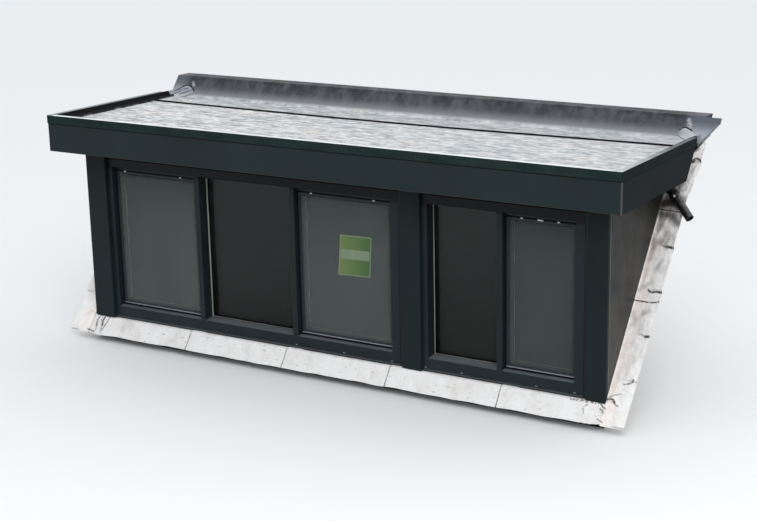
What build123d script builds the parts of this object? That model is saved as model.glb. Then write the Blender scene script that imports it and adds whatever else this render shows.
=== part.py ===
from build123d import *
import os
from math import cos, radians, sin, tan

os.makedirs("parts", exist_ok=True)

# The origin is the middle of the front rail's slanted base, on the roof deck.
# X runs to the right along the front, Y runs back into the roof, Z is up.

# Roof that the dormer stands on
roof_pitch = 52.0
cover_depth = 110.0       # tiles and battens, square to the slope
slope = tan(radians(roof_pitch))
cover_rise = cover_depth / cos(radians(roof_pitch))

# Front rail
rail_depth = 115.0
rail_setback = 10.0       # behind the faces of the post boards
front_y = -(rail_setback + rail_depth / 2)
sill_z = cover_rise + slope * front_y


def deck_z(y):
    """Height of the roof deck at a place on the Y axis."""
    return slope * y


def deck_y(z):
    """Place where the roof deck reaches a height."""
    return z / slope


def cover_y(z, gap=0.0):
    """Place where the covered slope, raised by a gap, reaches a height."""
    return (z - cover_rise - gap / cos(radians(roof_pitch))) / slope


def cover_z(y, gap=0.0):
    """Height of the covered slope, raised by a gap, at a place on the Y axis."""
    return slope * y + cover_rise + gap / cos(radians(roof_pitch))


def wall_plane(y):
    """Upright plane facing the front, drawn in X and Z."""
    return Plane.XZ.offset(-y)


def cover_plane(gap=0.0):
    """Plane of the covered slope, raised by a gap: X across, Y up the slope."""
    return Plane(
        origin=(0, 0, cover_z(0, gap)),
        x_dir=(1, 0, 0),
        z_dir=(0, -sin(radians(roof_pitch)), cos(radians(roof_pitch))),
    )


def cover_run(z):
    """Distance up the covered slope, from the Y axis' zero, to a height."""
    return (z - cover_z(0)) / sin(radians(roof_pitch))


def panel(x_from, x_to, z_from, z_to, mode=Mode.ADD):
    """A rectangle between its edges, in the active sketch."""
    with Locations(((x_from + x_to) / 2, (z_from + z_to) / 2)):
        Rectangle(x_to - x_from, z_to - z_from, mode=mode)


# Widths along the front
body_width = 4200.0
left_post_width = 178.0
middle_post_width = 151.0
right_post_width = 143.0
left_window_gap = 2522.0  # between the boards of the left and middle posts
half = body_width / 2
left_gap_x = -half + left_post_width
middle_board_x = left_gap_x + left_window_gap
right_gap_x = middle_board_x + middle_post_width
right_board_x = half - right_post_width

# Window frames, set behind the post boards
board = 30.0              # thickness of the post boards
frame_depth = 120.0
board_lap = 26.0          # a board covers this much of the frame on its right
joint_gap = 27.0          # between a frame and the board on its right
jamb_face = 65.0
mullion_face = 41.0
stop_depth = 55.0         # from the frame's face to a sash
fixed_depth = 83.0        # from the frame's face to fixed glass
rebate = 14.0
sill_rise = 8.0           # the sill falls this much towards the front
frame_bevel = 3.0
frame_y = front_y + board
frame_back_y = frame_y + frame_depth

# Heights above the foot of the front
profile_height = 40.0
sill_face = 64.0
bay_height = 1056.0
head_height = 62.0        # from the frames up to the fascia's lower edge
trim_height = 50.0
fascia_height = 215.0
bay_bottom = profile_height + sill_face
bay_top = bay_bottom + bay_height
frame_top = bay_top + jamb_face
fascia_bottom = frame_top + head_height

lead = 3.0                # thickness of the lead, also where it lies on the rail
cladding = 10.0           # thickness of the side panels
lining = 12.0             # thickness of the inner boards
wall = 98.0               # thickness of the side walls

# Roof of the dormer
front_overhang = 192.0
side_overhang = 157.0
fascia_thickness = 18.0
soffit_thickness = 12.0
soffit_raise = 10.0       # the fascia reaches this far below the soffit
joist_height = 171.0
joist_width = 71.0
joist_count = 9
deck_thickness = 18.0
membrane = 4.0
upstand_height = 150.0    # above the membrane, behind the flat roof
fascia_gap = 80.0         # side fascias end this far above the covered slope

fascia_y = front_y - front_overhang
fascia_back_y = fascia_y + fascia_thickness
roof_half = half + side_overhang
roof_inner = roof_half - fascia_thickness
soffit_z = sill_z + fascia_bottom + soffit_raise
joist_z = soffit_z + soffit_thickness
roof_deck_z = joist_z + joist_height
membrane_z = roof_deck_z + deck_thickness
membrane_top_z = membrane_z + membrane
fascia_z = sill_z + fascia_bottom
fascia_top_z = fascia_z + fascia_height

# Bays of the two window frames, from left to right
left_frame_x = left_gap_x - board_lap
left_frame_end = middle_board_x - joint_gap
right_frame_x = right_gap_x - board_lap
right_frame_end = right_board_x - joint_gap
left_bay_width = 758.0
centre_bay_width = 777.0
bay_a = left_frame_x + jamb_face
bay_b = bay_a + left_bay_width + mullion_face
bay_c = bay_b + centre_bay_width + mullion_face
bay_d = right_frame_x + jamb_face
right_bay_width = (right_frame_end - jamb_face - bay_d - mullion_face) / 2
bay_e = bay_d + right_bay_width + mullion_face
left_bay = (bay_a, bay_a + left_bay_width)
left_fixed_bay = (bay_b, bay_b + centre_bay_width)
centre_bay = (bay_c, left_frame_end - jamb_face)
right_fixed_bay = (bay_d, bay_d + right_bay_width)
right_bay = (bay_e, right_frame_end - jamb_face)
bay_z = sill_z + bay_bottom
bay_top_z = sill_z + bay_top
back_y = front_y + rail_setback + rail_depth

# Front rail, cut underneath to the slope of the roof deck
rail_y = front_y + rail_setback
with BuildPart() as front_rail:
    with BuildSketch(Plane.YZ.offset(-half + cladding)):
        Polygon(
            (rail_y, deck_z(rail_y)),
            (back_y, deck_z(back_y)),
            (back_y, sill_z),
            (rail_y, sill_z),
            align=None,
        )
    extrude(amount=body_width - 2 * cladding)
front_rail.part.label = "front_rail"
export_step(front_rail.part, "parts/front_rail.step")

# Timber posts between the frames, from the rail to the head beam
post_clearance = 2.0
post_y = front_y + board
head_z = sill_z + frame_top
post_spans = {
    "left_post": (-half + cladding, left_frame_x - post_clearance),
    "middle_post": (left_frame_end + post_clearance, right_frame_x - post_clearance),
    "right_post": (right_frame_end + post_clearance, half - cladding),
}
for name, (x_from, x_to) in post_spans.items():
    with BuildPart() as post:
        with BuildSketch(wall_plane(back_y)):
            panel(x_from, x_to, sill_z + lead, head_z)
        extrude(amount=back_y - post_y)
    post.part.label = name
    export_step(post.part, f"parts/{name}.step")

# Facing boards on the posts, with eased front edges
board_foot = 8.0
board_easing = 3.0
board_spans = {
    "left_post_board": (-half, left_gap_x),
    "middle_post_board": (middle_board_x, right_gap_x),
    "right_post_board": (right_board_x, half),
}
for name, (x_from, x_to) in board_spans.items():
    with BuildPart() as post_board:
        with BuildSketch(wall_plane(post_y)):
            panel(x_from, x_to, sill_z + board_foot, soffit_z)
        extrude(amount=board)
        front_face = post_board.faces().sort_by(Axis.Y)[0]
        fillet(front_face.edges().filter_by(Axis.Z), radius=board_easing)
    post_board.part.label = name
    export_step(post_board.part, f"parts/{name}.step")

# Beam over the windows, and facing boards between the posts in front of it
with BuildPart() as head_beam:
    with BuildSketch(wall_plane(back_y)):
        panel(-half + cladding, half - cladding, head_z, joist_z)
    extrude(amount=back_y - post_y)
head_beam.part.label = "head_beam"
export_step(head_beam.part, "parts/head_beam.step")

head_board = 12.0
board_joint = 1.0
with BuildPart() as head_boards:
    with BuildSketch(wall_plane(post_y)):
        panel(left_gap_x + board_joint, middle_board_x - board_joint, head_z, soffit_z)
        panel(right_gap_x + board_joint, right_board_x - board_joint, head_z, soffit_z)
    extrude(amount=head_board)
head_boards.part.label = "head_boards"
export_step(head_boards.part, "parts/head_boards.step")

# Window frames: one welded ring with mullions, rebated from inside
frame_z = sill_z + profile_height
window_frames = {
    "left_window_frame": (
        (left_frame_x, left_frame_end),
        [(left_bay, stop_depth), (left_fixed_bay, fixed_depth), (centre_bay, stop_depth)],
    ),
    "right_window_frame": (
        (right_frame_x, right_frame_end),
        [(right_fixed_bay, fixed_depth), (right_bay, stop_depth)],
    ),
}
for name, (ends, bays) in window_frames.items():
    with BuildPart() as window_frame:
        with BuildSketch(wall_plane(frame_back_y)):
            panel(ends[0], ends[1], frame_z, head_z)
        extrude(amount=frame_depth)
        for bay, depth in bays:
            with BuildSketch(wall_plane(frame_back_y)):
                panel(bay[0], bay[1], bay_z, bay_top_z)
            extrude(amount=frame_depth, mode=Mode.SUBTRACT)
            with BuildSketch(wall_plane(frame_back_y)):
                panel(bay[0] - rebate, bay[1] + rebate, bay_z - rebate, bay_top_z + rebate)
            extrude(amount=frame_depth - depth, mode=Mode.SUBTRACT)
            with BuildSketch(Plane.YZ.offset(bay[0])):
                Polygon(
                    (frame_y, bay_z - sill_rise),
                    (frame_y + depth, bay_z),
                    (frame_y, bay_z),
                    align=None,
                )
            extrude(amount=bay[1] - bay[0], mode=Mode.SUBTRACT)
        front = window_frame.faces().sort_by(Axis.Y)[0]
        openings = [wire.edges().sort_by(Axis.Z)[1:] for wire in front.inner_wires()]
        chamfer([edge for edges in openings for edge in edges], length=frame_bevel)
    window_frame.part.label = name
    export_step(window_frame.part, f"parts/{name}.step")

# Profiles under the frames, grooved in front, with a nose over the lead that
# stops at the board on the left
nose = 6.0
groove = 4.0
groove_height = 5.0
profile_spans = {
    "left_sill_profile": (left_frame_x, left_frame_end),
    "right_sill_profile": (right_frame_x, right_frame_end),
}
profile_z = sill_z + lead
for name, (x_from, x_to) in profile_spans.items():
    with BuildPart() as sill_profile:
        with BuildSketch(Plane.YZ.offset(x_from)):
            Polygon(
                (frame_y - nose, profile_z + 2 * groove_height),
                (frame_y, profile_z + 3 * groove_height),
                (frame_y, profile_z + 4 * groove_height),
                (frame_y + groove, profile_z + 4 * groove_height),
                (frame_y + groove, profile_z + 5 * groove_height),
                (frame_y, profile_z + 5 * groove_height),
                (frame_y, frame_z),
                (back_y, frame_z),
                (back_y, profile_z),
                (frame_y - nose, profile_z),
                align=None,
            )
        extrude(amount=x_to - x_from)
        with BuildSketch(wall_plane(frame_y)):
            panel(x_from, x_from + board_lap, profile_z, frame_z)
        extrude(amount=nose, mode=Mode.SUBTRACT)
    sill_profile.part.label = name
    export_step(sill_profile.part, f"parts/{name}.step")

# Inward opening sashes, bevelled in front and rebated from inside for their glass
sash_face = 56.0
sash_depth = 68.0
sash_gap = 3.0
sash_bevel = 8.0
unit = 24.0               # thickness of the double glazing
pane = 4.0
glass_setback = 22.0      # from the sash's face to the glass
glass_cover = 12.0        # how far the glass reaches into its rebate
glass_gap = 1.0
sash_y = frame_y + stop_depth
sash_bays = {"left_sash": left_bay, "centre_sash": centre_bay, "right_sash": right_bay}
sash_reach = rebate - sash_gap
sash_clear = sash_face - sash_reach
for name, bay in sash_bays.items():
    with BuildPart() as sash:
        with BuildSketch(wall_plane(sash_y + sash_depth)):
            panel(bay[0] - sash_reach, bay[1] + sash_reach, bay_z - sash_reach, bay_top_z + sash_reach)
        extrude(amount=sash_depth)
        with BuildSketch(wall_plane(sash_y + sash_depth)):
            panel(bay[0] + sash_clear, bay[1] - sash_clear, bay_z + sash_clear, bay_top_z - sash_clear)
        extrude(amount=sash_depth, mode=Mode.SUBTRACT)
        seat = sash_clear - glass_cover - glass_gap
        with BuildSketch(wall_plane(sash_y + sash_depth)):
            panel(bay[0] + seat, bay[1] - seat, bay_z + seat, bay_top_z - seat)
        extrude(amount=sash_depth - glass_setback, mode=Mode.SUBTRACT)
        front_ring = sash.faces().sort_by(Axis.Y)[0]
        chamfer(front_ring.inner_wires()[0].edges(), length=sash_bevel)
    sash.part.label = name
    export_step(sash.part, f"parts/{name}.step")

# Double glazing: two panes a unit, with a metal spacer between them
spacer_width = 12.0
spacer_gap = 0.2
fixed_y = frame_y + fixed_depth
fixed_reach = rebate - glass_gap
sash_glass_y = sash_y + glass_setback
sash_inset = sash_clear - glass_cover
glass_units = {
    "sash_glass": (list(sash_bays.values()), sash_glass_y, sash_inset),
    "fixed_glass": ([left_fixed_bay, right_fixed_bay], fixed_y, -fixed_reach),
}
for name, (bays, y, inset) in glass_units.items():
    with BuildPart() as glass:
        for pane_y in (y, y + unit - pane):
            with BuildSketch(wall_plane(pane_y + pane)):
                for bay in bays:
                    panel(bay[0] + inset, bay[1] - inset, bay_z + inset, bay_top_z - inset)
            extrude(amount=pane)
    glass.part.label = name
    export_step(glass.part, f"parts/{name}.step")

with BuildPart() as glazing_spacers:
    for bays, y, inset in glass_units.values():
        inner = inset + spacer_width
        with BuildSketch(wall_plane(y + unit - pane - spacer_gap)):
            for bay in bays:
                panel(bay[0] + inset, bay[1] - inset, bay_z + inset, bay_top_z - inset)
                panel(
                    bay[0] + inner,
                    bay[1] - inner,
                    bay_z + inner,
                    bay_top_z - inner,
                    mode=Mode.SUBTRACT,
                )
        extrude(amount=unit - 2 * pane - 2 * spacer_gap)
glazing_spacers.part.label = "glazing_spacers"
export_step(glazing_spacers.part, "parts/glazing_spacers.step")

# Beads that hold the glass from inside, sloped towards it
bead_width = 18.0
bead_bevel = 7.0
bead_runs = (
    (list(sash_bays.values()), sash_inset, sash_y + sash_depth, sash_glass_y + unit),
    ([left_fixed_bay, right_fixed_bay], -fixed_reach, frame_back_y, fixed_y + unit),
)
with BuildPart() as glazing_beads:
    for bays, inset, bead_back, glass_back in bead_runs:
        inner = inset + bead_width
        with BuildSketch(wall_plane(bead_back)):
            for bay in bays:
                panel(bay[0] + inset, bay[1] - inset, bay_z + inset, bay_top_z - inset)
                panel(
                    bay[0] + inner,
                    bay[1] - inner,
                    bay_z + inner,
                    bay_top_z - inner,
                    mode=Mode.SUBTRACT,
                )
        extrude(amount=bead_back - glass_back)
    bead_rings = [solid.faces().sort_by(Axis.Y)[-1] for solid in glazing_beads.solids()]
    chamfer([edge for ring in bead_rings for edge in ring.inner_wires()[0].edges()], length=bead_bevel)
glazing_beads.part.label = "glazing_beads"
export_step(glazing_beads.part, "parts/glazing_beads.step")

# Insect screens in the reveals, a slim frame round a fine mesh
screen_setback = 43.0
screen_thickness = 11.0
screen_face = 26.0
screen_foot = 10.0
screen_head = 24.0
screen_side = 0.3         # the screens clip between the jambs
mesh_thickness = 1.0
mesh_inset = 4.0
mesh_trim = 1.0           # the mesh ends this far inside its frame's edge
screen_y = frame_y + screen_setback
screen_bays = {"left_screen": left_bay, "centre_screen": centre_bay, "right_screen": right_bay}
for name, bay in screen_bays.items():
    left, right = bay[0] + screen_side, bay[1] - screen_side
    low, high = bay_z + screen_foot, bay_top_z - screen_head
    with BuildPart() as screen:
        with BuildSketch(wall_plane(screen_y + screen_thickness)):
            panel(left, right, low, high)
            panel(
                left + screen_face,
                right - screen_face,
                low + screen_face,
                high - screen_face,
                mode=Mode.SUBTRACT,
            )
        extrude(amount=screen_thickness)
        with BuildSketch(wall_plane(screen_y + mesh_inset + mesh_thickness)):
            panel(left + mesh_trim, right - mesh_trim, low + mesh_trim, high - mesh_trim)
        extrude(amount=mesh_thickness)
    screen.part.label = name
    export_step(screen.part, f"parts/{name}.step")

# Handles on the inside of the sashes: a plate, a neck and a lever hanging down
handle_height = 500.0
handle_plate = (28.0, 10.0, 70.0)
handle_neck = (16.0, 40.0, 16.0)
handle_lever = (18.0, 12.0, 120.0)
handle_y = sash_y + sash_depth
lever_y = handle_y + handle_neck[1] - handle_lever[1]
lever_z = bay_z + handle_height + handle_neck[2] / 2
with BuildPart() as sash_handles:
    for bay in sash_bays.values():
        handle_x = bay[1] + sash_reach - sash_face / 2
        with Locations((handle_x, handle_y, bay_z + handle_height)):
            Box(*handle_plate, align=(Align.CENTER, Align.MIN, Align.CENTER))
            Box(*handle_neck, align=(Align.CENTER, Align.MIN, Align.CENTER))
        with Locations((handle_x, lever_y, lever_z)):
            Box(*handle_lever, align=(Align.CENTER, Align.MIN, Align.MAX))
sash_handles.part.label = "sash_handles"
export_step(sash_handles.part, "parts/sash_handles.step")

# Fascias round the roof edge, with angle profiles on the corners; the side ones
# end above the slope, where water runs down beside the roof
upturn = 15.0             # leg of the side flashing up the wall
slope_gap = lead + upturn + 2.0
trim_proud = 5.0
trim_drip = 8.0
corner_face = 14.0
corner_metal = 1.5
corner_top_z = fascia_top_z - trim_drip
with BuildPart() as front_fascia:
    with BuildSketch(wall_plane(fascia_back_y)):
        panel(-roof_half, roof_half, fascia_z, fascia_top_z)
    extrude(amount=fascia_thickness)
    with BuildSketch(Plane.XY.offset(fascia_z)):
        for side in (-1, 1):
            x_in, x_out = roof_half - corner_face, roof_half + corner_metal
            y_out = fascia_y - corner_metal
            Polygon(
                (side * x_in, y_out),
                (side * x_out, y_out),
                (side * x_out, fascia_y + fascia_thickness),
                (side * roof_half, fascia_y + fascia_thickness),
                (side * roof_half, fascia_y),
                (side * x_in, fascia_y),
                align=None,
            )
    extrude(amount=corner_top_z - fascia_z)
front_fascia.part.label = "front_fascia"
export_step(front_fascia.part, "parts/front_fascia.step")

for name, x_from in (("left_fascia", -roof_half), ("right_fascia", roof_inner)):
    with BuildPart() as side_fascia:
        with BuildSketch(Plane.YZ.offset(x_from)):
            Polygon(
                (fascia_back_y, fascia_z),
                (cover_y(fascia_z, fascia_gap), fascia_z),
                (cover_y(fascia_top_z, fascia_gap), fascia_top_z),
                (fascia_back_y, fascia_top_z),
                align=None,
            )
        extrude(amount=fascia_thickness)
    side_fascia.part.label = name
    export_step(side_fascia.part, f"parts/{name}.step")

# Raised kerb behind the fascias, bevelled on the roof side and cut to the slope
trim_metal = 4.0
kerb_height = fascia_top_z + trim_height - trim_metal - membrane_z
kerb_top = 20.0
kerb_foot = 55.0
kerb_points = [(0, 0), (kerb_foot, 0), (kerb_top, kerb_height), (0, kerb_height)]
with BuildPart() as roof_kerb:
    with BuildSketch(Plane.YZ.offset(-roof_inner)):
        Polygon(
            *[(fascia_back_y + a, membrane_z + b) for a, b in kerb_points],
            align=None,
        )
    extrude(amount=2 * roof_inner)
    kerb_end = cover_y(membrane_z + kerb_height)
    for side in (-1, 1):
        with BuildSketch(wall_plane(kerb_end)):
            Polygon(
                *[(side * (roof_inner - a), membrane_z + b) for a, b in kerb_points],
                align=None,
            )
        extrude(amount=kerb_end - fascia_back_y)
    split(bisect_by=cover_plane(), keep=Keep.TOP)
roof_kerb.part.label = "roof_kerb"
export_step(roof_kerb.part, "parts/roof_kerb.step")

# Metal edge trim: a face in front of the fascia's top and a flange over the kerb
trim_flange = 36.0
trim_points = [
    (-trim_proud, -trim_drip),
    (0, -trim_drip),
    (0, trim_height - trim_metal),
    (trim_flange, trim_height - trim_metal),
    (trim_flange, trim_height),
    (-trim_proud, trim_height),
]
with BuildPart() as roof_trim:
    with BuildSketch(Plane.YZ.offset(-roof_half - trim_proud)):
        Polygon(
            *[(fascia_y + a, fascia_top_z + b) for a, b in trim_points],
            align=None,
        )
    extrude(amount=2 * (roof_half + trim_proud))
    trim_end = cover_y(fascia_top_z, fascia_gap)
    for side in (-1, 1):
        with BuildSketch(wall_plane(trim_end)):
            Polygon(
                *[(side * (roof_half - a), fascia_top_z + b) for a, b in trim_points],
                align=None,
            )
        extrude(amount=trim_end - fascia_y + trim_proud)
roof_trim.part.label = "roof_trim"
export_step(roof_trim.part, "parts/roof_trim.step")

# Soffit boards under the overhang
soffit_end = cover_y(soffit_z, fascia_gap)
with BuildPart() as soffits:
    with BuildSketch(Plane.XY.offset(soffit_z)):
        panel(-roof_inner, roof_inner, fascia_back_y, post_y)
        for side in (-1, 1):
            x_near, x_far = sorted((side * half, side * roof_inner))
            panel(x_near, x_far, post_y + board_joint, soffit_end)
    extrude(amount=soffit_thickness)
soffits.part.label = "soffits"
export_step(soffits.part, "parts/soffits.step")

# Joists of the flat roof, cut to the roof deck at the back; the outermost ones
# run beside the side walls and stop above the covered slope
joist_span = 2 * (roof_inner - joist_width / 2)
with BuildPart() as roof_joists:
    for i in range(joist_count):
        x = -joist_span / 2 + i * joist_span / (joist_count - 1)
        if abs(x) > half:
            low_end, high_end = cover_y(joist_z, fascia_gap), cover_y(roof_deck_z, fascia_gap)
        else:
            low_end, high_end = deck_y(joist_z), deck_y(roof_deck_z)
        with BuildSketch(Plane.YZ.offset(x - joist_width / 2)):
            Polygon(
                (fascia_back_y, joist_z),
                (low_end, joist_z),
                (high_end, roof_deck_z),
                (fascia_back_y, roof_deck_z),
                align=None,
            )
        extrude(amount=joist_width)
roof_joists.part.label = "roof_joists"
export_step(roof_joists.part, "parts/roof_joists.step")

# Boarding on the joists, which runs on to the roof deck between the side walls
with BuildPart() as roof_deck:
    with BuildSketch(Plane.YZ.offset(-roof_inner)):
        Polygon(
            (fascia_back_y, roof_deck_z),
            (cover_y(roof_deck_z, slope_gap), roof_deck_z),
            (cover_y(membrane_z, slope_gap), membrane_z),
            (fascia_back_y, membrane_z),
            align=None,
        )
    extrude(amount=2 * roof_inner)
    with BuildSketch(Plane.YZ.offset(-half + cladding)):
        Polygon(
            (fascia_back_y, roof_deck_z),
            (deck_y(roof_deck_z), roof_deck_z),
            (deck_y(membrane_z), membrane_z),
            (fascia_back_y, membrane_z),
            align=None,
        )
    extrude(amount=body_width - 2 * cladding)
roof_deck.part.label = "roof_deck"
export_step(roof_deck.part, "parts/roof_deck.step")

# Ceiling between the side walls, under the joists
wall_inner = half - cladding - wall
lining_inner = wall_inner - lining
with BuildPart() as ceiling:
    with BuildSketch(Plane.YZ.offset(-wall_inner)):
        Polygon(
            (back_y, joist_z - lining),
            (deck_y(joist_z - lining), joist_z - lining),
            (deck_y(joist_z), joist_z),
            (back_y, joist_z),
            align=None,
        )
    extrude(amount=2 * wall_inner)
ceiling.part.label = "ceiling"
export_step(ceiling.part, "parts/ceiling.step")

# Slanted beam behind the flat roof, lying on the roof deck
upstand_z = membrane_top_z + upstand_height
with BuildPart() as rear_beam:
    with BuildSketch(Plane.YZ.offset(-roof_inner)):
        Polygon(
            (cover_y(membrane_z, -membrane), membrane_z),
            (deck_y(membrane_z), membrane_z),
            (deck_y(upstand_z), upstand_z),
            (cover_y(upstand_z, -membrane), upstand_z),
            align=None,
        )
    extrude(amount=2 * roof_inner)
rear_beam.part.label = "rear_beam"
export_step(rear_beam.part, "parts/rear_beam.step")

# Roofing membrane: flat between the kerbs, then up the slope at the back and over
# the rear beam. The upper sheet laps over the flat one, and has an ear over the
# tiles on the right
lap_sheet = 3.0
lap_reach = 223.0         # from the fold to the seam
flat_front = fascia_back_y + kerb_foot
flat_half = roof_inner - kerb_foot
fold_y = cover_y(membrane_z, -membrane)
fold_radius = 30.0
lap_z = membrane_top_z + lap_sheet
seam_y = cover_y(membrane_top_z) - lap_reach
ear_reach = 112.0
ear_edge = 34.0
ear_foot = 20.0           # below the roof boarding's top
ear_grade = (upstand_z - ear_edge - membrane_z + ear_foot) / ear_reach
with BuildPart() as roof_membrane:
    with BuildSketch(Plane.YZ.offset(-flat_half)):
        Polygon(
            (flat_front, membrane_z),
            (fold_y, membrane_z),
            (cover_y(upstand_z, -membrane), upstand_z),
            (cover_y(upstand_z), upstand_z),
            (cover_y(lap_z), lap_z),
            (seam_y, lap_z),
            (seam_y, membrane_top_z),
            (flat_front, membrane_top_z),
            align=None,
        )
    extrude(amount=2 * flat_half)
    with BuildSketch(Plane.YZ.offset(-roof_inner)):
        Polygon(
            (fold_y, membrane_z),
            (cover_y(upstand_z, -membrane), upstand_z),
            (deck_y(upstand_z), upstand_z),
            (deck_y(upstand_z), upstand_z + membrane),
            (cover_y(upstand_z + membrane), upstand_z + membrane),
            (cover_y(membrane_z), membrane_z),
            align=None,
        )
    extrude(amount=2 * roof_inner)
    with BuildSketch(cover_plane()):
        Polygon(
            (roof_inner, cover_run(membrane_z - ear_foot)),
            (roof_inner + ear_reach, cover_run(upstand_z - ear_edge)),
            (roof_inner + ear_reach, cover_run(upstand_z)),
            (roof_inner, cover_run(upstand_z)),
            align=None,
        )
    extrude(amount=-membrane)
    inner_fold = roof_membrane.edges().filter_by(Axis.X).filter_by_position(
        Axis.Z, lap_z - 1, lap_z + 1
    ).sort_by(Axis.Y)[-1]
    fillet(inner_fold, radius=fold_radius)
roof_membrane.part.label = "roof_membrane"
export_step(roof_membrane.part, "parts/roof_membrane.step")

# Side walls: an insulated core on the roof deck, a smooth panel outside, a board inside
wall_spans = {
    "left_cheek_wall": -half + cladding,
    "right_cheek_wall": wall_inner,
}
for name, x_from in wall_spans.items():
    with BuildPart() as cheek_wall:
        with BuildSketch(Plane.YZ.offset(x_from)):
            Polygon(
                (back_y, deck_z(back_y)),
                (deck_y(joist_z), joist_z),
                (back_y, joist_z),
                align=None,
            )
        extrude(amount=wall)
    cheek_wall.part.label = name
    export_step(cheek_wall.part, f"parts/{name}.step")

panel_gap = 4.0
for name, x_from in (("left_cheek_panel", -half), ("right_cheek_panel", half - cladding)):
    with BuildPart() as cheek_panel:
        with BuildSketch(Plane.YZ.offset(x_from)):
            Polygon(
                (post_y, cover_z(post_y, lead + panel_gap)),
                (cover_y(joist_z, lead + panel_gap), joist_z),
                (post_y, joist_z),
                align=None,
            )
        extrude(amount=cladding)
    cheek_panel.part.label = name
    export_step(cheek_panel.part, f"parts/{name}.step")

for name, x_from in (("left_cheek_lining", -wall_inner), ("right_cheek_lining", lining_inner)):
    with BuildPart() as cheek_lining:
        with BuildSketch(Plane.YZ.offset(x_from)):
            Polygon(
                (back_y, deck_z(back_y)),
                (deck_y(joist_z - lining), joist_z - lining),
                (back_y, joist_z - lining),
                align=None,
            )
        extrude(amount=lining)
    cheek_lining.part.label = name
    export_step(cheek_lining.part, f"parts/{name}.step")

# Lead apron in front: a leg down the slope, and a tray on the rail. Its sheets
# lap over each other, which shows as raised bands
apron_width = 170.0
apron_drop = 143.0        # down the slope
apron_half = half + apron_width
toe_y = front_y - apron_drop * cos(radians(roof_pitch))
lead_y = lead * sin(radians(roof_pitch))
lead_z = lead * cos(radians(roof_pitch))
lap_width = 100.0
lap_spacing = 850.0
first_lap_x = -1190.0
apron_laps = 4
lap_clearance = 1.0       # from a lap to the nose of the sill profile
with BuildPart() as front_apron:
    with BuildSketch(Plane.YZ.offset(-apron_half)):
        Polygon(
            (toe_y, cover_z(toe_y)),
            (front_y, sill_z),
            (front_y - lead_y, sill_z + lead_z),
            (toe_y - lead_y, cover_z(toe_y) + lead_z),
            align=None,
        )
    extrude(amount=2 * apron_half)
    with BuildSketch(Plane.YZ.offset(-half + cladding)):
        Polygon(
            (front_y, sill_z),
            (back_y, sill_z),
            (back_y, sill_z + lead),
            (front_y - lead_y, sill_z + lead),
            (front_y - lead_y, sill_z + lead_z),
            align=None,
        )
    extrude(amount=body_width - 2 * cladding)
    lap_end_y = frame_y - nose - lap_clearance
    for i in range(apron_laps):
        with BuildSketch(Plane.YZ.offset(first_lap_x + i * lap_spacing)):
            Polygon(
                (toe_y - lead_y, cover_z(toe_y) + lead_z),
                (front_y - lead_y, sill_z + lead_z),
                (front_y - lead_y, sill_z + lead),
                (lap_end_y, sill_z + lead),
                (lap_end_y, sill_z + 2 * lead),
                (front_y - 2 * lead_y, sill_z + 2 * lead),
                (toe_y - 2 * lead_y, cover_z(toe_y) + 2 * lead_z),
                align=None,
            )
        extrude(amount=lap_width)
front_apron.part.label = "front_apron"
export_step(front_apron.part, "parts/front_apron.step")

# Lead beside the side walls: a wide strip under the overhang with a leg up the
# wall, and a strip beside the membrane above it
flashing_start = 60.0     # before the front, lapped over the apron
strip_start = 30.0        # the upper strip starts this far below the joists' top
strip_inner = 5.0         # outside the roof boarding
strip_outer = 185.0       # outside the side wall
ear_gap = 4.0             # from the membrane's ear
eaves_gap = 8.0
side_laps = (570.0, 1080.0)


def slope_plane(y):
    """Plane square to the slope, on top of the apron, facing up the slope."""
    return Plane(
        origin=(0, y, cover_z(y, lead)),
        x_dir=(1, 0, 0),
        z_dir=(0, cos(radians(roof_pitch)), sin(radians(roof_pitch))),
    )


def slope_run(y_from, z_to):
    """Length along the slope from a place on the Y axis up to a height."""
    return (z_to - cover_z(y_from)) / sin(radians(roof_pitch))


flashing_y = front_y - flashing_start
strip_z = roof_deck_z - strip_start
x_near = roof_inner + strip_inner
x_far = half + strip_outer
strip_top_z = membrane_z - ear_foot - ear_gap
for name, side in (("left_flashing", -1), ("right_flashing", 1)):
    with BuildPart() as flashing:
        with BuildSketch(slope_plane(flashing_y)):
            Polygon(
                (side * half, 0),
                (side * apron_half, 0),
                (side * apron_half, -lead),
                (side * (half + lead), -lead),
                (side * (half + lead), -upturn),
                (side * half, -upturn),
                align=None,
            )
        extrude(amount=slope_run(flashing_y, roof_deck_z - eaves_gap))
        for rise in side_laps:
            with BuildSketch(slope_plane(cover_y(sill_z + rise))):
                Polygon(
                    (side * (half + lead), -lead),
                    (side * apron_half, -lead),
                    (side * apron_half, -2 * lead),
                    (side * (half + 2 * lead), -2 * lead),
                    align=None,
                )
            extrude(amount=lap_width)
        with BuildSketch(cover_plane(lead)):
            Polygon(
                (side * x_near, cover_run(strip_z)),
                (side * x_far, cover_run(strip_z)),
                (side * x_far, cover_run(strip_top_z + ear_grade * (x_far - roof_inner))),
                (side * x_near, cover_run(strip_top_z + ear_grade * (x_near - roof_inner))),
                align=None,
            )
        extrude(amount=lead)
    flashing.part.label = name
    export_step(flashing.part, f"parts/{name}.step")

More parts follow.
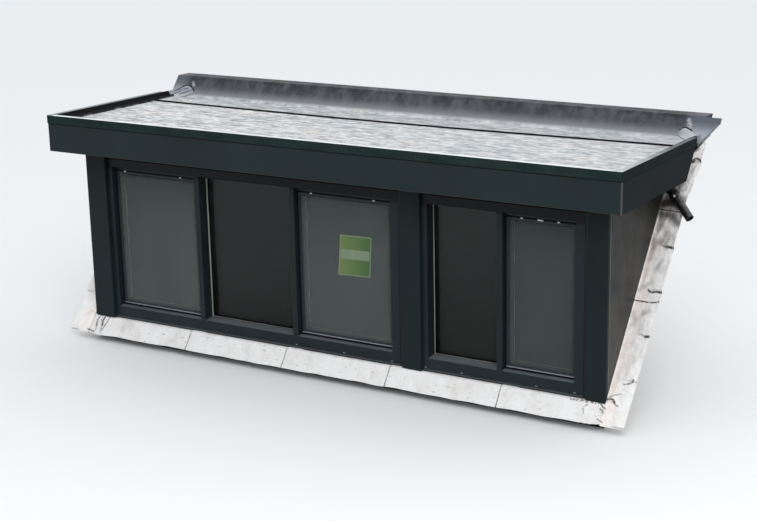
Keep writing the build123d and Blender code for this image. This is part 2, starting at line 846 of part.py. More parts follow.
# Rainwater outlet from the right side wall, down along the slope
pipe_radius = 29.0
pipe_wall = 2.5
pipe_fit = 0.5            # round the pipe in its socket
socket_wall = 4.5
outlet_reach = 52.0       # from the wall to the bend
outlet_gap = 69.5         # from the pipe's axis back to the covered slope
outlet_drop = 55.0        # below the fascia's lower edge
pipe_reach = 180.0        # the pipe's far end, measured from the bend
pipe_forward = 103.0
pipe_fall = 165.0
bend_radius = 60.0
socket_length = 60.0
socket_stop = 42.0        # from the bend to the pipe's hidden end
collar_rise = 3.0
collar_length = 14.0
socket_radius = pipe_radius + pipe_fit + socket_wall
outlet_z = fascia_z - outlet_drop
elbow_at = Vector(half, cover_y(outlet_z) - outlet_gap, outlet_z)
bend_at = elbow_at + Vector(outlet_reach, 0, 0)
pipe_end = bend_at + Vector(pipe_reach, -pipe_forward, -pipe_fall)
run = (pipe_end - bend_at).normalized()
socket_end = bend_at + run * socket_length
elbow_path = FilletPolyline(elbow_at, bend_at, socket_end, radius=bend_radius)
with BuildPart() as outlet_elbow:
    with BuildSketch(Plane(origin=elbow_at, z_dir=(1, 0, 0))):
        Circle(socket_radius)
    sweep(path=elbow_path)
    with BuildSketch(Plane(origin=elbow_at, z_dir=(1, 0, 0))):
        Circle(pipe_radius + pipe_fit)
    sweep(path=elbow_path, mode=Mode.SUBTRACT)
    with BuildSketch(Plane(origin=socket_end, z_dir=run)):
        Circle(socket_radius + collar_rise)
        Circle(pipe_radius + pipe_fit, mode=Mode.SUBTRACT)
    extrude(amount=-collar_length)
outlet_elbow.part.label = "outlet_elbow"
export_step(outlet_elbow.part, "parts/outlet_elbow.step")

pipe_start = bend_at + run * socket_stop
with BuildPart() as outlet_pipe:
    with BuildSketch(Plane(origin=pipe_start, z_dir=run)):
        Circle(pipe_radius)
        Circle(pipe_radius - pipe_wall, mode=Mode.SUBTRACT)
    extrude(amount=(pipe_end - pipe_start).length)
outlet_pipe.part.label = "outlet_pipe"
export_step(outlet_pipe.part, "parts/outlet_pipe.step")
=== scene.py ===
# %% [markdown]
# # A flat-roof dormer window
#
# This script dresses a dormer that was built as separate parts: timber,
# boards, plastic window frames, glass, roofing membrane and lead. The parts
# come in at their real size and stay where they are. Here they get their
# surfaces, and the soft and thin things that a drawing of solids can't show
# well are modelled by hand: dressed lead, folds in the membrane, insect
# screens, seals and clips. Every length is in metres.

# %% Load the parts and keep their outer box
from math import cos, exp, floor, pi, radians, sin, tan

import bpy
from mathutils import Matrix, Vector, noise


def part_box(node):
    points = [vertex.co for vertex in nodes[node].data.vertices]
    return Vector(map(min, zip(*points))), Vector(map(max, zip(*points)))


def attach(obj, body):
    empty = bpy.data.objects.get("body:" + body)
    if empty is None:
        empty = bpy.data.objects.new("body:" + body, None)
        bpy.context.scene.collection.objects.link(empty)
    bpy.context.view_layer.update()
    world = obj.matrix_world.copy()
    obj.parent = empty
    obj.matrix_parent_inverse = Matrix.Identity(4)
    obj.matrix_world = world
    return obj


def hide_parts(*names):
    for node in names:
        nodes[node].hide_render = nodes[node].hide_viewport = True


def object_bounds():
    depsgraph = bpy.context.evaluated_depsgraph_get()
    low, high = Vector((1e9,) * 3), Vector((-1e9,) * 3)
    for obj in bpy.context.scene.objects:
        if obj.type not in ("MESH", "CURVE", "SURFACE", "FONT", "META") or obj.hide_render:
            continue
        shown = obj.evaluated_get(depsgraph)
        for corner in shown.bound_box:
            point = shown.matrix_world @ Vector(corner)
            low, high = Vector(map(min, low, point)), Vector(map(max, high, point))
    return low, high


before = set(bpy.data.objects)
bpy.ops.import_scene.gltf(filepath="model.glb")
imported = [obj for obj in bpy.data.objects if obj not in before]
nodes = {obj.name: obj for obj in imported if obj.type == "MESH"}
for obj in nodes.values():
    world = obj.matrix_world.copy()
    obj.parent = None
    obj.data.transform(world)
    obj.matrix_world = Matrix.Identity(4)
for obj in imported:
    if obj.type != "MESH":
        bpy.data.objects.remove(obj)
cad_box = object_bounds()
print("parts loaded:", len(nodes))

# %% [markdown]
# The roof's pitch is the one angle that the whole dormer hangs on: the lead
# and the membrane lie on that slope. The front's face and foot are read from
# the parts, so that nothing here drifts away from them. A point is often
# given as it would be measured on site: across from the middle, back from the
# front's face and up from its foot.

# %% Reference lines
pitch = radians(52)
front_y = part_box("left_post_board")[0].y
foot_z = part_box("front_rail")[1].z
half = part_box("right_post_board")[1].x


def site(x, back, rise):
    """A point measured from the front's middle, face and foot."""
    return Vector((x, front_y + back, foot_z + rise))


def on_slope(x, run, lift=0.0):
    """A point on the covered slope, a run up it from the foot, lifted square to it."""
    back = run * cos(pitch) - lift * sin(pitch)
    rise = run * sin(pitch) + lift * cos(pitch)
    return site(x, back, rise)


print("front face at", round(front_y, 4), "foot at", round(foot_z, 4))
print("half width", round(half, 3))

# %% [markdown]
# ## Camera
#
# The picture was taken from high up on the right, with a long lens and cut
# down at one side, so the middle of the view isn't the middle of the picture.
# A turn, a tilt and a slight lean, set one after the other, are easier to
# check against the photograph than a target that the camera tracks.

# %% Camera at the photograph's place
camera_turn = radians(28.86)
camera_tilt = radians(15.0)
camera_lean = radians(-0.41)
camera_place = Matrix.Translation((5.706, -8.5255, 3.4953))
camera_data = bpy.data.cameras.new("photo_camera")
camera_data.sensor_width = 36
camera_data.lens = 73.02
camera_data.shift_x = -0.1057
camera = bpy.data.objects.new("photo_camera", camera_data)
bpy.context.scene.collection.objects.link(camera)
camera.matrix_world = (
    camera_place
    @ Matrix.Rotation(camera_turn, 4, "Z")
    @ Matrix.Rotation(pi / 2 - camera_tilt, 4, "X")
    @ Matrix.Rotation(camera_lean, 4, "Z")
)
bpy.context.scene.camera = camera
bpy.context.scene.view_settings.view_transform = "Standard"
print("camera lens", camera_data.lens, "mm")

# %% [markdown]
# ## Tools for finishes
#
# Each finish is a small network of nodes on the piece's own coordinates. The
# same few parts come back every time: a cloud of noise, a pair of colours
# blended by it, and a bump. Colours are written as they look, as six digits,
# and turned into light values by one short function.

# %% Colours, and values for sockets
def shade(code):
    """A colour written as six hexadecimal digits, as a light value."""
    parts = [int(code[i:i + 2], 16) / 255 for i in (0, 2, 4)]
    light = [p / 12.92 if p <= 0.04045 else ((p + 0.055) / 1.055) ** 2.4 for p in parts]
    return (*light, 1.0)


def feed(tree, value, socket):
    """Link a node's output to a socket, or set it to a number or a colour code."""
    if isinstance(value, bpy.types.NodeSocket):
        tree.links.new(value, socket)
    else:
        socket.default_value = shade(value) if isinstance(value, str) else value


print("a middle grey as a light value:", round(shade("808080")[0], 3))

# %% [markdown]
# A new material starts with its main shader. Noise is read in the piece's own
# coordinates, in metres, so a pattern has the same size on a long board and on
# a short one. A stretch draws it out one way, as rain and grain do.

# %% A new material and a cloud of noise
def new_finish(name, roughness, metallic=0.0, specular=0.5):
    """A material with its main shader, and the values that are the same all over it."""
    material = bpy.data.materials.new(name)
    material.use_nodes = True
    shader = material.node_tree.nodes["Principled BSDF"]
    shader.inputs["Roughness"].default_value = roughness
    shader.inputs["Metallic"].default_value = metallic
    shader.inputs["Specular IOR Level"].default_value = specular
    return material, material.node_tree, shader


def coordinates(tree, stretch=(1, 1, 1), offset=(0, 0, 0)):
    """The piece's own coordinates, stretched and moved."""
    source = tree.nodes.new("ShaderNodeTexCoord")
    mapping = tree.nodes.new("ShaderNodeMapping")
    mapping.inputs["Scale"].default_value = stretch
    mapping.inputs["Location"].default_value = offset
    tree.links.new(source.outputs["Object"], mapping.inputs["Vector"])
    return mapping.outputs["Vector"]


def cloud(
    tree, scale, detail=4, stretch=(1, 1, 1), offset=(0, 0, 0), roughness=0.5, place=None
):
    """Soft noise, larger in a direction with a small stretch, or laid on a given place."""
    node = tree.nodes.new("ShaderNodeTexNoise")
    node.inputs["Scale"].default_value = scale
    node.inputs["Detail"].default_value = detail
    node.inputs["Roughness"].default_value = roughness
    tree.links.new(place or coordinates(tree, stretch, offset), node.inputs["Vector"])
    return node.outputs["Fac"]

# %% [markdown]
# Noise is only a grey value, and serves as a mask. A ramp turns it into
# colours, a blend lays one colour over another where the mask is bright, and
# simple sums join several masks.

# %% Ramps, blends and sums
def ramp(tree, mask, stops):
    """Turns a mask into colours, from a list of places and colour codes."""
    node = tree.nodes.new("ShaderNodeValToRGB")
    points = node.color_ramp.elements
    while len(points) < len(stops):
        points.new(0.5)
    for point, (place, code) in zip(points, stops):
        point.position = place
        point.color = shade(code)
    tree.links.new(mask, node.inputs["Fac"])
    return node.outputs["Color"]


def grey_ramp(tree, mask, low, high, start=0.0, end=1.0):
    """Turns a mask into a grey value that goes from start to end between low and high."""
    node = tree.nodes.new("ShaderNodeMapRange")
    limits = {"From Min": low, "From Max": high, "To Min": start, "To Max": end}
    for socket, value in limits.items():
        node.inputs[socket].default_value = value
    tree.links.new(mask, node.inputs["Value"])
    return node.outputs["Result"]


def mix(tree, mask, first, second):
    """Blends two colours, each a code or a node's output, by a mask."""
    node = tree.nodes.new("ShaderNodeMix")
    node.data_type = "RGBA"
    feed(tree, mask, node.inputs["Factor"])
    feed(tree, first, node.inputs[6])
    feed(tree, second, node.inputs[7])
    return node.outputs[2]


def math(tree, operation, first, second):
    """One sum on two values, each a number or a node's output."""
    node = tree.nodes.new("ShaderNodeMath")
    node.operation = operation
    for socket, value in zip(node.inputs, (first, second)):
        feed(tree, value, socket)
    return node.outputs["Value"]

# %% [markdown]
# Relief that is too small to model is drawn as a bump: a height map changes
# how the surface takes the light, and the shape stays as it is. One relief can
# lie on top of another.

# %% Relief
def bump(tree, shader, height, distance, strength=1.0, under=None):
    """Relief from a height map, on top of another relief if one is given."""
    node = tree.nodes.new("ShaderNodeBump")
    node.inputs["Strength"].default_value = strength
    node.inputs["Distance"].default_value = distance
    tree.links.new(height, node.inputs["Height"])
    if under:
        tree.links.new(under, node.inputs["Normal"])
    tree.links.new(node.outputs["Normal"], shader.inputs["Normal"])
    return node.outputs["Normal"]

# %% [markdown]
# A mark that belongs to a place needs a mask made from the piece's own
# coordinates. Dust lies on faces that look up, and so does the painted sky
# light that they catch, so both are read from the normal. Two close shades and
# an uneven roughness are what nearly every finish needs.

# %% Helpers for places, dust and paint
def axis(tree, name):
    """One of the piece's own coordinates, X, Y or Z."""
    node = tree.nodes.new("ShaderNodeSeparateXYZ")
    tree.links.new(coordinates(tree), node.inputs["Vector"])
    return node.outputs[name]


def off_middle(tree):
    """How far a point lies from the dormer's middle, to either side."""
    return math(tree, "ABSOLUTE", axis(tree, "X"), 0.0)


def two_shades(tree, shader, scale, dark, light):
    """Colours a finish with two close shades, blended by a cloud."""
    tone = ramp(tree, cloud(tree, scale), [(0.3, dark), (0.7, light)])
    tree.links.new(tone, shader.inputs["Base Color"])


def vary_roughness(tree, shader, mask, smooth, rough):
    """Lets a mask change the roughness between two values."""
    level = grey_ramp(tree, mask, 0.3, 0.7, smooth, rough)
    tree.links.new(level, shader.inputs["Roughness"])


def dust_and_light_on_ledges(tree, colour, dust, amount):
    """Pale dust, and painted sky light, on the faces that look up at the sky."""
    geometry = tree.nodes.new("ShaderNodeNewGeometry")
    up = tree.nodes.new("ShaderNodeSeparateXYZ")
    tree.links.new(geometry.outputs["Normal"], up.inputs["Vector"])
    upward = grey_ramp(tree, up.outputs["Z"], 0.55, 0.95, 0.0, amount)
    blown = cloud(tree, 9.0, detail=4, stretch=(0.5, 1, 1))
    patchy = grey_ramp(tree, blown, 0.3, 0.6, 0.75, 1.0)
    return mix(tree, math(tree, "MULTIPLY", upward, patchy), colour, dust)


def paint(material, *names):
    """Give parts that keep their shape a better finish."""
    for name in names:
        nodes[name].data.materials.clear()
        nodes[name].data.materials.append(material)


print("tools for finishes ready")

# %% [markdown]
# ## Anthracite boards
#
# The posts, fascias and soffits are flat boards with a satin, blue-green grey
# face. On such a dark board the eye reads the sheen more than the colour, so
# the roughness changes a little over each board, and rain leaves faint
# upright streaks. A fine grain stops the face from looking like glass.

# %% Board finishes
def board_finish(name, dark, light, streaks=0.25, specular=0.12, sheen=(0.48, 0.62)):
    """A satin board: two close shades, upright streaks and a fine grain."""
    material, tree, shader = new_finish(name, 0.55, specular=specular)
    broad = cloud(tree, 1.3, detail=3)
    runs = cloud(tree, 1.0, detail=5, stretch=(22, 22, 1.1))
    base = ramp(tree, broad, [(0.35, dark), (0.65, light)])
    streak = grey_ramp(tree, runs, 0.45, 0.75, 0.0, streaks)
    dusty = tuple(min(1, c * 1.7) for c in shade(light)[:3]) + (1,)
    colour = mix(tree, streak, base, dusty)
    tree.links.new(colour, shader.inputs["Base Color"])
    vary_roughness(tree, shader, runs, *sheen)
    bump(tree, shader, cloud(tree, 900.0, detail=2), 0.00012, 0.5)
    return material, tree, shader, colour


facing = board_finish("anthracite_facing", "192325", "1f2a2c", streaks=0.15)[0]
# The head boards and soffits get a far darker copy of the board: painted shade for the deep
# shadow under the fascia.
painted_shade_board = board_finish(
    "anthracite_painted_shade", "090b0c", "0f1213", streaks=0.0, specular=0.03
)[0]
fascia_board, tree, shader, colour = board_finish(
    "anthracite_fascia", "212b2d", "283335", streaks=0.06
)
print("board finishes:", facing.name, painted_shade_board.name, fascia_board.name)

# %% [markdown]
# Angle profiles cover the fascia's two front corners. The last few
# millimetres at each end are paler, and so is the fascia's foot. A band of
# painted shadow lies in the narrow gap under the edge trim. The marks are laid
# over the colour that the board's finish has made.

# %% Marks on the fascias
fascia_low, fascia_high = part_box("front_fascia")
pale_edge_width = 0.0045
foot_height = 0.004
pale_edge = math(tree, "GREATER_THAN", off_middle(tree), fascia_high.x - pale_edge_width)
colour = mix(tree, math(tree, "MULTIPLY", pale_edge, 0.75), colour, "5a5c5b")
at_foot = math(tree, "LESS_THAN", axis(tree, "Z"), fascia_low.z + foot_height)
colour = mix(tree, math(tree, "MULTIPLY", at_foot, 0.6), colour, "45423f")
# Painted shadow: a dark band on the fascia just under the edge trim.
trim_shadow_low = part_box("roof_trim")[0].z - 0.008
trim_shadow_band = math(tree, "GREATER_THAN", axis(tree, "Z"), trim_shadow_low)
tree.links.new(mix(tree, trim_shadow_band, colour, "070a0b"), shader.inputs["Base Color"])

# The side fascias are the same board, painted in darker shades as shade, and
# turned away from the rain: they have no streaks, and the painted shadow under
# the trim goes on round them.
side_fascia, tree, shader, colour = board_finish(
    "anthracite_side", "181e20", "1e2427", streaks=0.0, specular=0.04, sheen=(0.6, 0.62)
)
trim_shadow_band = math(tree, "GREATER_THAN", axis(tree, "Z"), trim_shadow_low)
tree.links.new(mix(tree, trim_shadow_band, colour, "070a0b"), shader.inputs["Base Color"])
paint(facing, "left_post_board", "middle_post_board", "right_post_board")
paint(fascia_board, "front_fascia")
paint(side_fascia, "left_fascia", "right_fascia")
paint(painted_shade_board, "head_boards", "soffits")
print("boards finished")

# %% [markdown]
# ## Side panels
#
# The side walls are faced with smooth grey panels, lighter and browner than
# the boards, with cloudy marks where water and dust have dried. Soft noise in
# two sizes gives the clouds. Towards the foot the panel is painted a little
# paler, as light thrown up off the pale lead, and under the overhang it is
# painted darker, as shade. The cut front edge is paler than the face.

# %% Side panel finish
side_panel, tree, shader = new_finish("side_panel", 0.45, specular=0.14)
clouds = cloud(tree, 3.2, detail=4, stretch=(1, 1, 0.6))
fine = cloud(tree, 14.0, detail=6, roughness=0.6)
panel_base = ramp(tree, clouds, [(0.34, "1c1d1e"), (0.5, "333231"), (0.66, "4f4d48")])
panel_tint = ramp(tree, fine, [(0.4, "2a2928"), (0.65, "403f3c")])
panel_colour = mix(tree, 0.35, panel_base, panel_tint)
# Painted shade: darker high up, under the overhang.
in_shade = grey_ramp(tree, axis(tree, "Z"), foot_z + 0.6, foot_z + 1.25, 0.0, 0.45)
panel_colour = mix(tree, in_shade, panel_colour, "1d1d1d")
# Painted light: paler towards the foot, as light thrown up off the lead.
painted_light = grey_ramp(tree, axis(tree, "Z"), foot_z, foot_z + 0.75, 0.8, 0.0)
panel_colour = mix(tree, painted_light, panel_colour, "5c5953")
cut_edge = 0.009
panel_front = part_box("right_cheek_panel")[0].y
edge = math(tree, "LESS_THAN", axis(tree, "Y"), panel_front + cut_edge)
tree.links.new(mix(tree, edge, panel_colour, "6a6c6c"), shader.inputs["Base Color"])
vary_roughness(tree, shader, fine, 0.34, 0.52)
bump(tree, shader, clouds, 0.0015, 0.25)
paint(side_panel, "left_cheek_panel", "right_cheek_panel")
print("side panels finished")

# %% [markdown]
# ## Window plastic
#
# The frames and sashes are plastic profiles with a coloured foil. The foil
# has a very fine relief and a low sheen, and ledges that face the sky catch
# far more light than upright faces. The shape does most of that, and pale
# dust on the ledges, partly painted sky light, helps. Under the fascia the
# frames lie in its shade, which is painted into the foil as a dark band at
# their top. The sashes get a much lighter copy of the foil, as painted light.

# %% Window plastic finish
head_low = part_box("left_screen")[1].z


def foil_finish(name, dark, light):
    """Coloured foil with a fine relief."""
    material, tree, shader = new_finish(name, 0.45, specular=0.15)
    broad = cloud(tree, 2.0, detail=3)
    dust = cloud(tree, 60.0, detail=5, roughness=0.65)
    base = ramp(tree, broad, [(0.3, dark), (0.7, light)])
    speck = grey_ramp(tree, dust, 0.55, 0.8, 0.0, 0.3)
    plain = mix(tree, speck, base, "3a4042")
    # Painted shade: the frames are much darker at their top, under the fascia.
    under_fascia_shade = grey_ramp(tree, axis(tree, "Z"), head_low, head_low + 0.02, 0.0, 0.92)
    plain = mix(tree, under_fascia_shade, plain, "07090a")
    dusty = dust_and_light_on_ledges(tree, plain, "676e71", 0.9)
    tree.links.new(dusty, shader.inputs["Base Color"])
    vary_roughness(tree, shader, dust, 0.32, 0.5)
    bump(tree, shader, cloud(tree, 700.0, detail=3), 0.0001, 0.5)
    return material


window_foil = foil_finish("window_foil", "1d2528", "242d30")
# A much lighter copy of the foil for the sashes: painted light, so that they still show
# behind the screens' mesh, where little light reaches them.
lightened_sash_foil = foil_finish("lightened_sash_foil", "4b545a", "565f65")
paint(window_foil, "left_window_frame", "right_window_frame")
paint(window_foil, "left_sill_profile", "right_sill_profile")
paint(lightened_sash_foil, "left_sash", "centre_sash", "right_sash", "glazing_beads")
print("window plastic finished")

# %% [markdown]
# ## Edge trim
#
# The trim round the roof is coated metal. It's smoother than the boards and
# a shade greener, with pale dust along its top, greyer on the left. Rain from
# the slope washes the right side's top clean towards the back. The upright
# face of both sides is painted darker than the front, as shade.

# %% Edge trim finish
trim_coat, tree, shader = new_finish("trim_coat", 0.5, specular=0.02)
scuffs = cloud(tree, 5.0, detail=6, stretch=(1, 1, 3), roughness=0.6)
trim_colour = ramp(tree, scuffs, [(0.35, "253231"), (0.7, "2e3d3c")])
side_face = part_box("roof_trim")[1].x - 0.002
left_top = -2.215
# Painted shade: the upright faces of the sides are darker than the front.
side_face_shade = math(tree, "GREATER_THAN", off_middle(tree), side_face)
trim_colour = mix(tree, side_face_shade, trim_colour, "152021")
on_left = math(tree, "LESS_THAN", axis(tree, "X"), left_top)
dust_tone = mix(tree, on_left, "f3f5f5", "9da1a3")
dusty_trim = dust_and_light_on_ledges(tree, trim_colour, dust_tone, 0.95)
on_right = grey_ramp(tree, axis(tree, "X"), 2.16, 2.21)
bare = grey_ramp(tree, axis(tree, "Y"), front_y - 0.1, front_y + 0.7, 0.35, 0.85)
bare = math(tree, "MULTIPLY", bare, on_right)
tree.links.new(mix(tree, bare, dusty_trim, trim_colour), shader.inputs["Base Color"])
vary_roughness(tree, shader, scuffs, 0.44, 0.58)
bump(tree, shader, cloud(tree, 500.0, detail=2), 0.0001, 0.3)
paint(trim_coat, "roof_trim")
print("trim finished")

# %% [markdown]
# ## Timber and boarding
#
# Behind the boards the dormer is carpentry: planed softwood posts, beams and
# joists, and structural boarding. Planed wood needs long grain along each
# piece. A warped noise, cut into two tones, draws the rings, and a second,
# much finer noise draws the fibres. Pieces that run another way get the same
# finish with both noises drawn out along another axis.

# %% Timber finishes
def timber_finish(name, along):
    """Planed softwood with its grain along X, Y or Z."""
    light, dark = "c79c66", "96693c"
    material, tree, shader = new_finish(name, 0.6, specular=0.3)
    long_way = {"X": (0.06, 1, 1), "Y": (1, 0.06, 1), "Z": (1, 1, 0.06)}[along]
    rings = tree.nodes.new("ShaderNodeTexNoise")
    rings.inputs["Scale"].default_value = 24.0
    rings.inputs["Detail"].default_value = 3.0
    rings.inputs["Distortion"].default_value = 1.2
    tree.links.new(coordinates(tree, long_way), rings.inputs["Vector"])
    fibre_way = tuple(6 * c for c in long_way)
    fibres = cloud(tree, 90.0, detail=4, stretch=fibre_way)
    bands = grey_ramp(tree, rings.outputs["Fac"], 0.42, 0.58)
    wood = mix(tree, bands, light, dark)
    fine_grain = grey_ramp(tree, fibres, 0.4, 0.8, 0.0, 0.4)
    wood = mix(tree, fine_grain, wood, dark)
    tree.links.new(wood, shader.inputs["Base Color"])
    vary_roughness(tree, shader, fibres, 0.5, 0.7)
    bump(tree, shader, fibres, 0.0004, 0.4)
    return material, tree, shader


timber_x = timber_finish("softwood_across", "X")[0]
timber_y = timber_finish("softwood_back", "Y")[0]
paint(timber_x, "head_beam")
paint(timber_y, "roof_joists")
print("plain timber finished")

# %% [markdown]
# Some of the timber is painted black where it shows in dark gaps and under
# edges, as painted shade. The wood's finish is the same. The link into its
# base colour is replaced by a blend, whose mask says on which side of a plane
# just under the surface a point lies.

# %% Timber with black faces
# The ends of the beam behind the roof are painted dark: painted shade where they show above
# the upstand.
shaded_beam_x, tree, shader = timber_finish("softwood_shaded_ends", "X")
wood_colour = shader.inputs["Base Color"].links[0].from_socket
black_depth = 0.002
beam_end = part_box("rear_beam")[1].x - black_depth
inside = math(tree, "LESS_THAN", off_middle(tree), beam_end)
tree.links.new(mix(tree, inside, "202225", wood_colour), shader.inputs["Base Color"])
paint(shaded_beam_x, "rear_beam")

# The front rail's face is painted black: painted shade under the toe of the apron.
shaded_rail_x, tree, shader = timber_finish("softwood_shaded_face", "X")
wood_colour = shader.inputs["Base Color"].links[0].from_socket
rail_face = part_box("front_rail")[0].y + black_depth
behind = math(tree, "GREATER_THAN", axis(tree, "Y"), rail_face)
tree.links.new(mix(tree, behind, "101112", wood_colour), shader.inputs["Base Color"])
paint(shaded_rail_x, "front_rail")

# The posts stand behind the gaps between the frames and the boards, and their
# front face is painted black: painted shade in those deep gaps.
timber_z, tree, shader = timber_finish("softwood_upright", "Z")
wood_colour = shader.inputs["Base Color"].links[0].from_socket
post_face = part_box("middle_post")[0].y + black_depth
behind = math(tree, "GREATER_THAN", axis(tree, "Y"), post_face)
tree.links.new(mix(tree, behind, "0c0d0e", wood_colour), shader.inputs["Base Color"])
paint(timber_z, "left_post", "middle_post", "right_post")
print("blackened timber finished")

# %% [markdown]
# The roof boarding is made of pressed wood flakes. Cells from a Voronoi
# texture, a little longer one way, give each flake its own shade. The two
# side edges are sealed black.

# %% Boarding finish
boarding, tree, shader = new_finish("flake_boarding", 0.65, specular=0.25)
flakes = tree.nodes.new("ShaderNodeTexVoronoi")
flakes.inputs["Scale"].default_value = 45.0
tree.links.new(coordinates(tree, (0.45, 1, 1)), flakes.inputs["Vector"])
flake_tone = ramp(
    tree, flakes.outputs["Color"], [(0.1, "a17645"), (0.5, "bf9560"), (0.9, "d6b27c")]
)
sealed_width = 0.03
deck_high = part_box("roof_deck")[1]
sealed = math(tree, "GREATER_THAN", off_middle(tree), deck_high.x - sealed_width)
tree.links.new(mix(tree, sealed, flake_tone, "1a1c1d"), shader.inputs["Base Color"])
bump(tree, shader, flakes.outputs["Distance"], 0.001, 0.4)
paint(boarding, "roof_deck")
print("boarding finished")

# %% [markdown]
# ## Side walls and lining
#
# The core of each side wall shows only where it's cut to the slope: a sheet
# of boarding outside, insulation between the studs and a sheet inside. One
# finish draws these layers from the distance to the middle of the dormer.
# The room's side is a painted lining.

# %% Wall core and lining finishes
wall_core, tree, shader = new_finish("layered_wall", 0.85, specular=0.15)
wool_strands = cloud(tree, 70.0, detail=8, stretch=(1, 3, 3))
wool = ramp(tree, wool_strands, [(0.3, "a8975c"), (0.7, "d9c98c")])
sheet = ramp(tree, cloud(tree, 30.0, detail=4), [(0.3, "a57c4c"), (0.7, "c59c66")])
depth = off_middle(tree)
wall_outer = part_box("right_cheek_wall")[1].x
wall_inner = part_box("right_cheek_wall")[0].x
sheet_thickness = 0.012
in_wool = math(
    tree, "MULTIPLY",
    math(tree, "LESS_THAN", depth, wall_outer - sheet_thickness),
    math(tree, "GREATER_THAN", depth, wall_inner + sheet_thickness),
)
tree.links.new(mix(tree, in_wool, sheet, wool), shader.inputs["Base Color"])
bump(tree, shader, cloud(tree, 160.0, detail=6), 0.002, 0.6)
paint(wall_core, "left_cheek_wall", "right_cheek_wall")

lining, tree, shader = new_finish("painted_lining", 0.7, specular=0.3)
two_shades(tree, shader, 2.5, "d9d7d0", "e4e2dc")
roller_marks = cloud(tree, 260.0, detail=3)
bump(tree, shader, roller_marks, 0.0003, 0.5)
paint(lining, "ceiling", "left_cheek_lining", "right_cheek_lining")
print("wall core and lining finished")

# %% [markdown]
# ## Glass
#
# In daylight a window that you look into from outside is much darker than its
# surroundings, because the room behind it is. There's no room here, so the
# inner pane stands in for it and lets almost nothing through. The outer pane
# is clear, and shows the bright spacer bar between the two at the glass's
# edge. Drawn glass is never quite flat, so its mirror image is bent a little
# by a very broad, very shallow bump.

# %% Glass and spacer finishes
glass, tree, shader = new_finish("window_glass", 0.02, specular=0.2)
between_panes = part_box("sash_glass")[0].y + 0.015
inner_pane = math(tree, "GREATER_THAN", axis(tree, "Y"), between_panes)
tree.links.new(mix(tree, inner_pane, "e8eeeb", "141716"), shader.inputs["Base Color"])
shader.inputs["Transmission Weight"].default_value = 1.0
shader.inputs["IOR"].default_value = 1.2
bump(tree, shader, cloud(tree, 1.6, detail=1), 0.002, 0.15)
paint(glass, "sash_glass", "fixed_glass")

spacer, tree, shader = new_finish("pale_spacer", 0.5, specular=0.3)
brushed = cloud(tree, 300.0, detail=2, stretch=(1, 1, 0.05))
spacer_tone = ramp(tree, brushed, [(0.3, "eae6da"), (0.7, "f8f4ea")])
tree.links.new(spacer_tone, shader.inputs["Base Color"])
paint(spacer, "glazing_spacers")
print("glass finished")

# %% [markdown]
# ## Tools for marks on the slope
#
# A mark on the roof's slope is placed as it would be measured there: across
# from the middle, and up the slope from the front's foot. A line mask, used
# for dirt and for painted shade, is the distance to the nearest point of a
# straight line, and a bent line is the brightest of several straight ones.

# %% Places, and lines of dirt and painted shade on the slope
def slope_place(tree, across=1.0, up=1.0):
    """Where a point lies on the covered slope, across it and up it, each stretched."""
    spot = tree.nodes.new("ShaderNodeCombineXYZ")
    tree.links.new(math(tree, "MULTIPLY", axis(tree, "X"), across), spot.inputs["X"])
    run = tree.nodes.new("ShaderNodeVectorMath")
    run.operation = "DOT_PRODUCT"
    run.inputs[1].default_value = (0, cos(pitch) * up, sin(pitch) * up)
    tree.links.new(coordinates(tree, offset=(0, -front_y, -foot_z)), run.inputs[0])
    tree.links.new(run.outputs["Value"], spot.inputs["Y"])
    return spot.outputs["Vector"]


def run_of(tree, place):
    """The distance up the slope of a place on it."""
    node = tree.nodes.new("ShaderNodeSeparateXYZ")
    tree.links.new(place, node.inputs["Vector"])
    return node.outputs["Y"]


def dirt_and_shade_line(tree, place, start, end, width, core=0.55):
    """A mask that is 1 on the straight line between two places on the slope."""
    start, end = Vector((*start, 0)), Vector((*end, 0))
    reach = end - start
    lift = tree.nodes.new("ShaderNodeVectorMath")
    lift.operation = "SUBTRACT"
    lift.inputs[1].default_value = start
    tree.links.new(place, lift.inputs[0])
    dot = tree.nodes.new("ShaderNodeVectorMath")
    dot.operation = "DOT_PRODUCT"
    dot.inputs[1].default_value = reach / reach.length_squared
    tree.links.new(lift.outputs["Vector"], dot.inputs[0])
    share = math(tree, "MINIMUM", math(tree, "MAXIMUM", dot.outputs["Value"], 0.0), 1.0)
    foot = tree.nodes.new("ShaderNodeVectorMath")
    foot.operation = "SCALE"
    foot.inputs[0].default_value = reach
    tree.links.new(share, foot.inputs["Scale"])
    gap = tree.nodes.new("ShaderNodeVectorMath")
    gap.operation = "DISTANCE"
    tree.links.new(lift.outputs["Vector"], gap.inputs[0])
    tree.links.new(foot.outputs["Vector"], gap.inputs[1])
    return grey_ramp(tree, gap.outputs["Value"], width * core, width, 1.0, 0.0)


def dirt_and_shade_path(tree, place, points, width, core=0.55):
    """A mask that is 1 along a bent line through several places on the slope."""
    mask = 0.0
    for start, end in zip(points, points[1:]):
        mask = math(tree, "MAXIMUM", mask, dirt_and_shade_line(tree, place, start, end, width, core))
    return mask

# %% [markdown]
# ## Roofing membrane
#
# The flat roof is covered with a grey sheet that has weathered in broad,
# slightly long patches, with finer spots and short streaks where water has
# dried. It is duller towards the right and behind the seam. The part that
# turns up at the back gets painted shade that deepens with height, with a few
# paler marks where water ran down.

